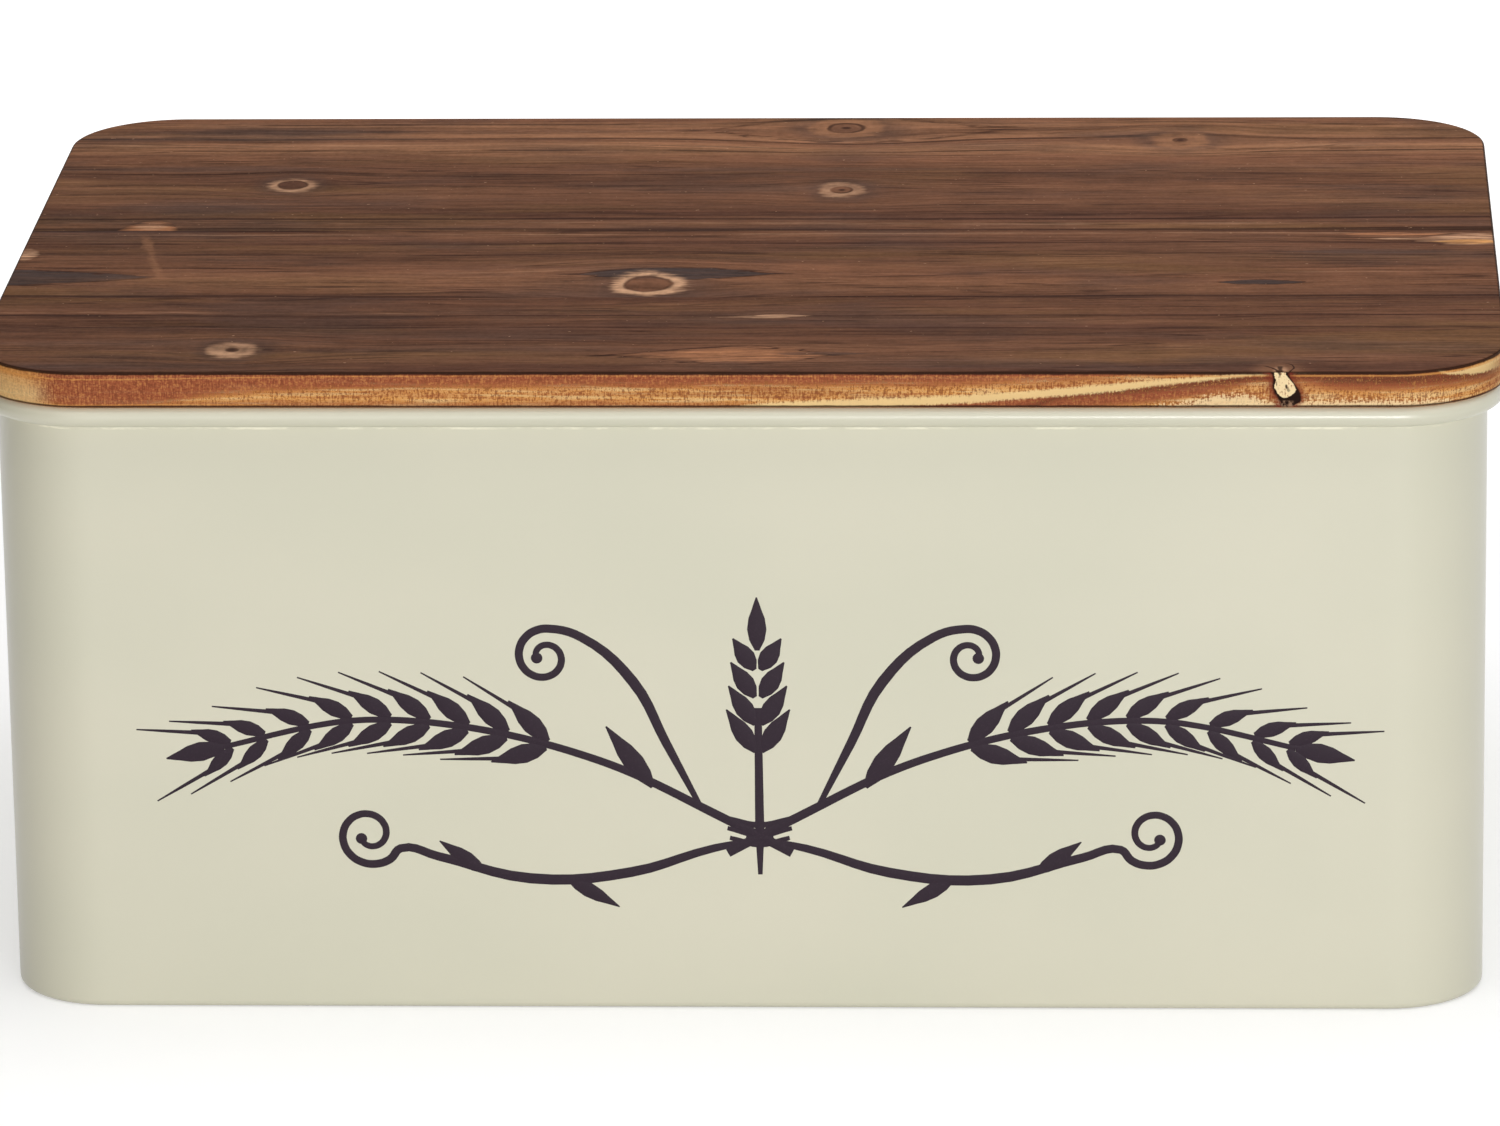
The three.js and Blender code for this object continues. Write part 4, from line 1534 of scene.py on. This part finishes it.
def disc(x, z, radius):
    """A round dot, drawn as one short stroke."""
    shares = (-1.0, -0.92, -0.7, -0.38, 0.0, 0.38, 0.7, 0.92, 1.0)
    return [(x + radius * share, z, max(radius * math.sqrt(1 - share ** 2), 0.05)) for share in shares]


def scroll(lead, x, z, radius, start, turns, width):
    """A tendril that runs in along its lead and winds up round a dot."""
    coil = spiral(x, z, radius, start, turns, width)
    end_x, end_z, end_width = coil[-1]
    return [lead + coil, disc(end_x, end_z, end_width * 1.9)]


def bow(points, share):
    """A point and its heading on the smooth line through points."""
    span = share * (len(points) - 1)
    index = min(int(span), len(points) - 2)
    here = span - index
    before = points[max(index - 1, 0)]
    first, last = points[index], points[index + 1]
    after = points[min(index + 2, len(points) - 1)]
    place, slope = [], []
    for p, a, b, q in zip(before, first, last, after):
        side_a, side_b = (b - p) / 2, (q - a) / 2
        cube = 2 * a - 2 * b + side_a + side_b
        square = 3 * b - 3 * a - 2 * side_a - side_b
        place.append(((cube * here + square) * here + side_a) * here + a)
        slope.append((3 * cube * here + 2 * square) * here + side_a)
    return place, math.atan2(slope[1], slope[0])


def petal(x, z, heading, reach, half):
    """A stroke that swells and narrows again, as a grain or a leaf does."""
    widths = (0.25, 0.8, 1.0, 0.85, 0.45, 0.08)
    steps = len(widths) - 1
    return [(*ahead(x, z, heading, reach * step / steps), half * width)
            for step, width in enumerate(widths)]


# The right half: points of the stem, its steps, how many pairs of grains sit on it, and the leads of
# its two tendrils
STEM = [(-7, -25), (8, -17), (32, -5), (60, 3), (88, 5), (116, -1)]
STEM_STEPS = 20
GRAIN_PAIRS = 9
LOW_LEAD = [(-3, -21.5, 0.5), (10, -24, 0.9), (28, -29.5, 1.15), (50, -31, 1.2), (70, -26, 1.0)]
HIGH_LEAD = [(13, -14, 0.6), (20, 0, 1.0), (27, 14, 1.2), (38, 24, 1.0)]
# A grain: angle from the stem, length and half width. Its beard: angle, root on the grain, and for
# each point the distance from that root and the half width
GRAIN_ANGLE, GRAIN_REACH, GRAIN_HALF = 31, 12.5, 2.2
BEARD_ANGLE, BEARD_ROOT = 17, 9.5
BEARD = ((0, 0.5), (7, 0.36), (14, 0.16))
# Leaves: x, z, heading in degrees, length and half width
LEAVES = ((23, -10, 54, 17, 2.3), (42, -31, -150, 13, 1.7), (60, -29.5, 36, 12, 1.8))


def spray_side():
    """The strokes of the right half."""
    shares = [step / STEM_STEPS for step in range(STEM_STEPS + 1)]
    strokes = [[(*bow(STEM, share)[0], 1.1 - 0.5 * share) for share in shares]]
    for pair in range(GRAIN_PAIRS):
        (x, z), heading = bow(STEM, 0.5 + 0.48 * pair / (GRAIN_PAIRS - 1))
        size = 1.0 - 0.035 * pair
        for side in (-1, 1):
            aim = heading + side * math.radians(GRAIN_ANGLE)
            root = ahead(x, z, heading + math.pi / 2, side * 0.8)
            strokes.append(petal(*root, aim, GRAIN_REACH * size, GRAIN_HALF * size))
            tip = ahead(*root, aim, BEARD_ROOT * size)
            beard = heading + side * math.radians(BEARD_ANGLE)
            strokes.append([(*ahead(*tip, beard, reach), width) for reach, width in BEARD])
    (x, z), heading = bow(STEM, 1.0)
    strokes.append(petal(x, z, heading, 13, 2.2))
    strokes += scroll(LOW_LEAD, 85, -21.0, 7.5, 205, 1.35, 0.95)
    strokes += scroll(HIGH_LEAD, 46, 19.5, 6.5, 100, -1.3, 0.95)
    for x, z, heading, reach, half in LEAVES:
        strokes.append(petal(x, z, math.radians(heading), reach, half))
    return strokes


def spray_middle():
    """The strokes on the ornament's own middle."""
    strokes = [[(0, -30, 0.5), (0, -20, 1.0), (0, -6, 0.9), (0, 8, 0.8)]]
    for pair in range(4):
        for side in (-1, 1):
            heading = math.radians(90 - side * 33)
            strokes.append(petal(side * 0.6, -2 + 6.2 * pair, heading, 11.5 - pair, 2.1))
    strokes.append(petal(0, 21, math.radians(90), 12, 2.1))
    for height, half in ((-22.5, 6.5), (-20.3, 7.0), (-18.1, 6.5)):
        strokes.append([(-half, height + 0.9, 0.5), (0, height - 0.6, 0.75), (half, height + 0.9, 0.5)])
    return strokes


class BREADBOX_OT_ornament(bpy.types.Operator):
    """Paint a spray of corn ears on the front, stroke by stroke"""
    bl_idname = "breadbox.add_ornament"
    bl_label = "Painted ornament"

    # Middle of the ornament in millimetres, and how thick the paint is for its width
    MIDDLE = (4.0, 61.0)
    FLATNESS = 0.05

    def execute(self, context):
        strokes = spray_middle()
        for stroke in spray_side():
            strokes.append(stroke)
            strokes.append([(-x, z, width) for x, z, width in stroke])
        spray = self.draw_strokes(strokes)
        select_all()
        bpy.ops.transform.resize(value=(1.0, self.FLATNESS, 1.0), center_override=(0, 0, 0))
        body = context.scene.breadbox_body
        bpy.ops.transform.translate(value=(0, wall_low.y + body.curl - body.sheet, 0))
        bpy.ops.object.mode_set(mode="OBJECT")
        clean(spray)
        named("painted_spray")
        smooth(spray, degrees=60)
        spray.data.materials.append(ornament_paint())
        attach(spray, "box")
        return {"FINISHED"}

    def draw_strokes(self, strokes):
        """Round strokes of their own widths, as one mesh in the plane y = 0."""
        rest_selection()
        bpy.ops.curve.primitive_bezier_curve_add(location=(0, 0, 0))
        spray = bpy.context.object
        spray.name = "painted_spray"
        line = spray.data
        line.dimensions = "3D"
        line.bevel_depth = 1.0 * MM
        line.bevel_resolution = 2
        line.resolution_u = 5
        line.use_fill_caps = True
        line.splines.remove(line.splines[0])
        middle_x, middle_z = self.MIDDLE
        for stroke in strokes:
            path = line.splines.new("BEZIER")
            path.bezier_points.add(len(stroke) - 1)
            for point, (x, z, width) in zip(path.bezier_points, stroke):
                point.co = ((x + middle_x) * MM, 0.0, (z + middle_z) * MM)
                point.radius = width
                point.handle_left_type = "AUTO"
                point.handle_right_type = "AUTO"
        only(spray)
        bpy.ops.object.convert(target="MESH")
        return bpy.context.object


OPERATORS = (
    BREADBOX_OT_stage,
    BREADBOX_OT_wall,
    BREADBOX_OT_lap,
    BREADBOX_OT_bottom,
    BREADBOX_OT_boards,
    BREADBOX_OT_battens,
    BREADBOX_OT_screws,
    BREADBOX_OT_ornament,
)


class BREADBOX_PT_pieces(bpy.types.Panel):
    """Lists the pieces of the bread box and their settings"""
    bl_idname = "BREADBOX_PT_pieces"
    bl_label = "Bread Box"
    bl_space_type = "VIEW_3D"
    bl_region_type = "UI"
    bl_category = "Bread Box"

    def draw(self, context):
        for operator in OPERATORS:
            self.layout.operator(operator.bl_idname)
        for name, group in GROUPS.items():
            box = self.layout.box()
            box.label(text=group.__doc__)
            for setting in group.__annotations__:
                box.prop(getattr(context.scene, name), setting)


def register():
    for group in (*GROUPS.values(), *OPERATORS, BREADBOX_PT_pieces):
        bpy.utils.register_class(group)
    for name, group in GROUPS.items():
        setattr(bpy.types.Scene, name, bpy.props.PointerProperty(type=group))


def unregister():
    for name in GROUPS:
        delattr(bpy.types.Scene, name)
    for group in (BREADBOX_PT_pieces, *reversed(OPERATORS), *reversed(GROUPS.values())):
        bpy.utils.unregister_class(group)


def main():
    """Builds everything in order."""
    register()
    build_groups()
    bpy.ops.breadbox.add_stage()
    bpy.ops.breadbox.add_wall()
    bpy.ops.breadbox.add_lap()
    bpy.ops.breadbox.add_bottom()
    bpy.ops.breadbox.add_boards()
    bpy.ops.breadbox.add_battens()
    bpy.ops.breadbox.add_screws()
    bpy.ops.breadbox.add_ornament()
    rest_selection()


if __name__ == "__main__":
    main()
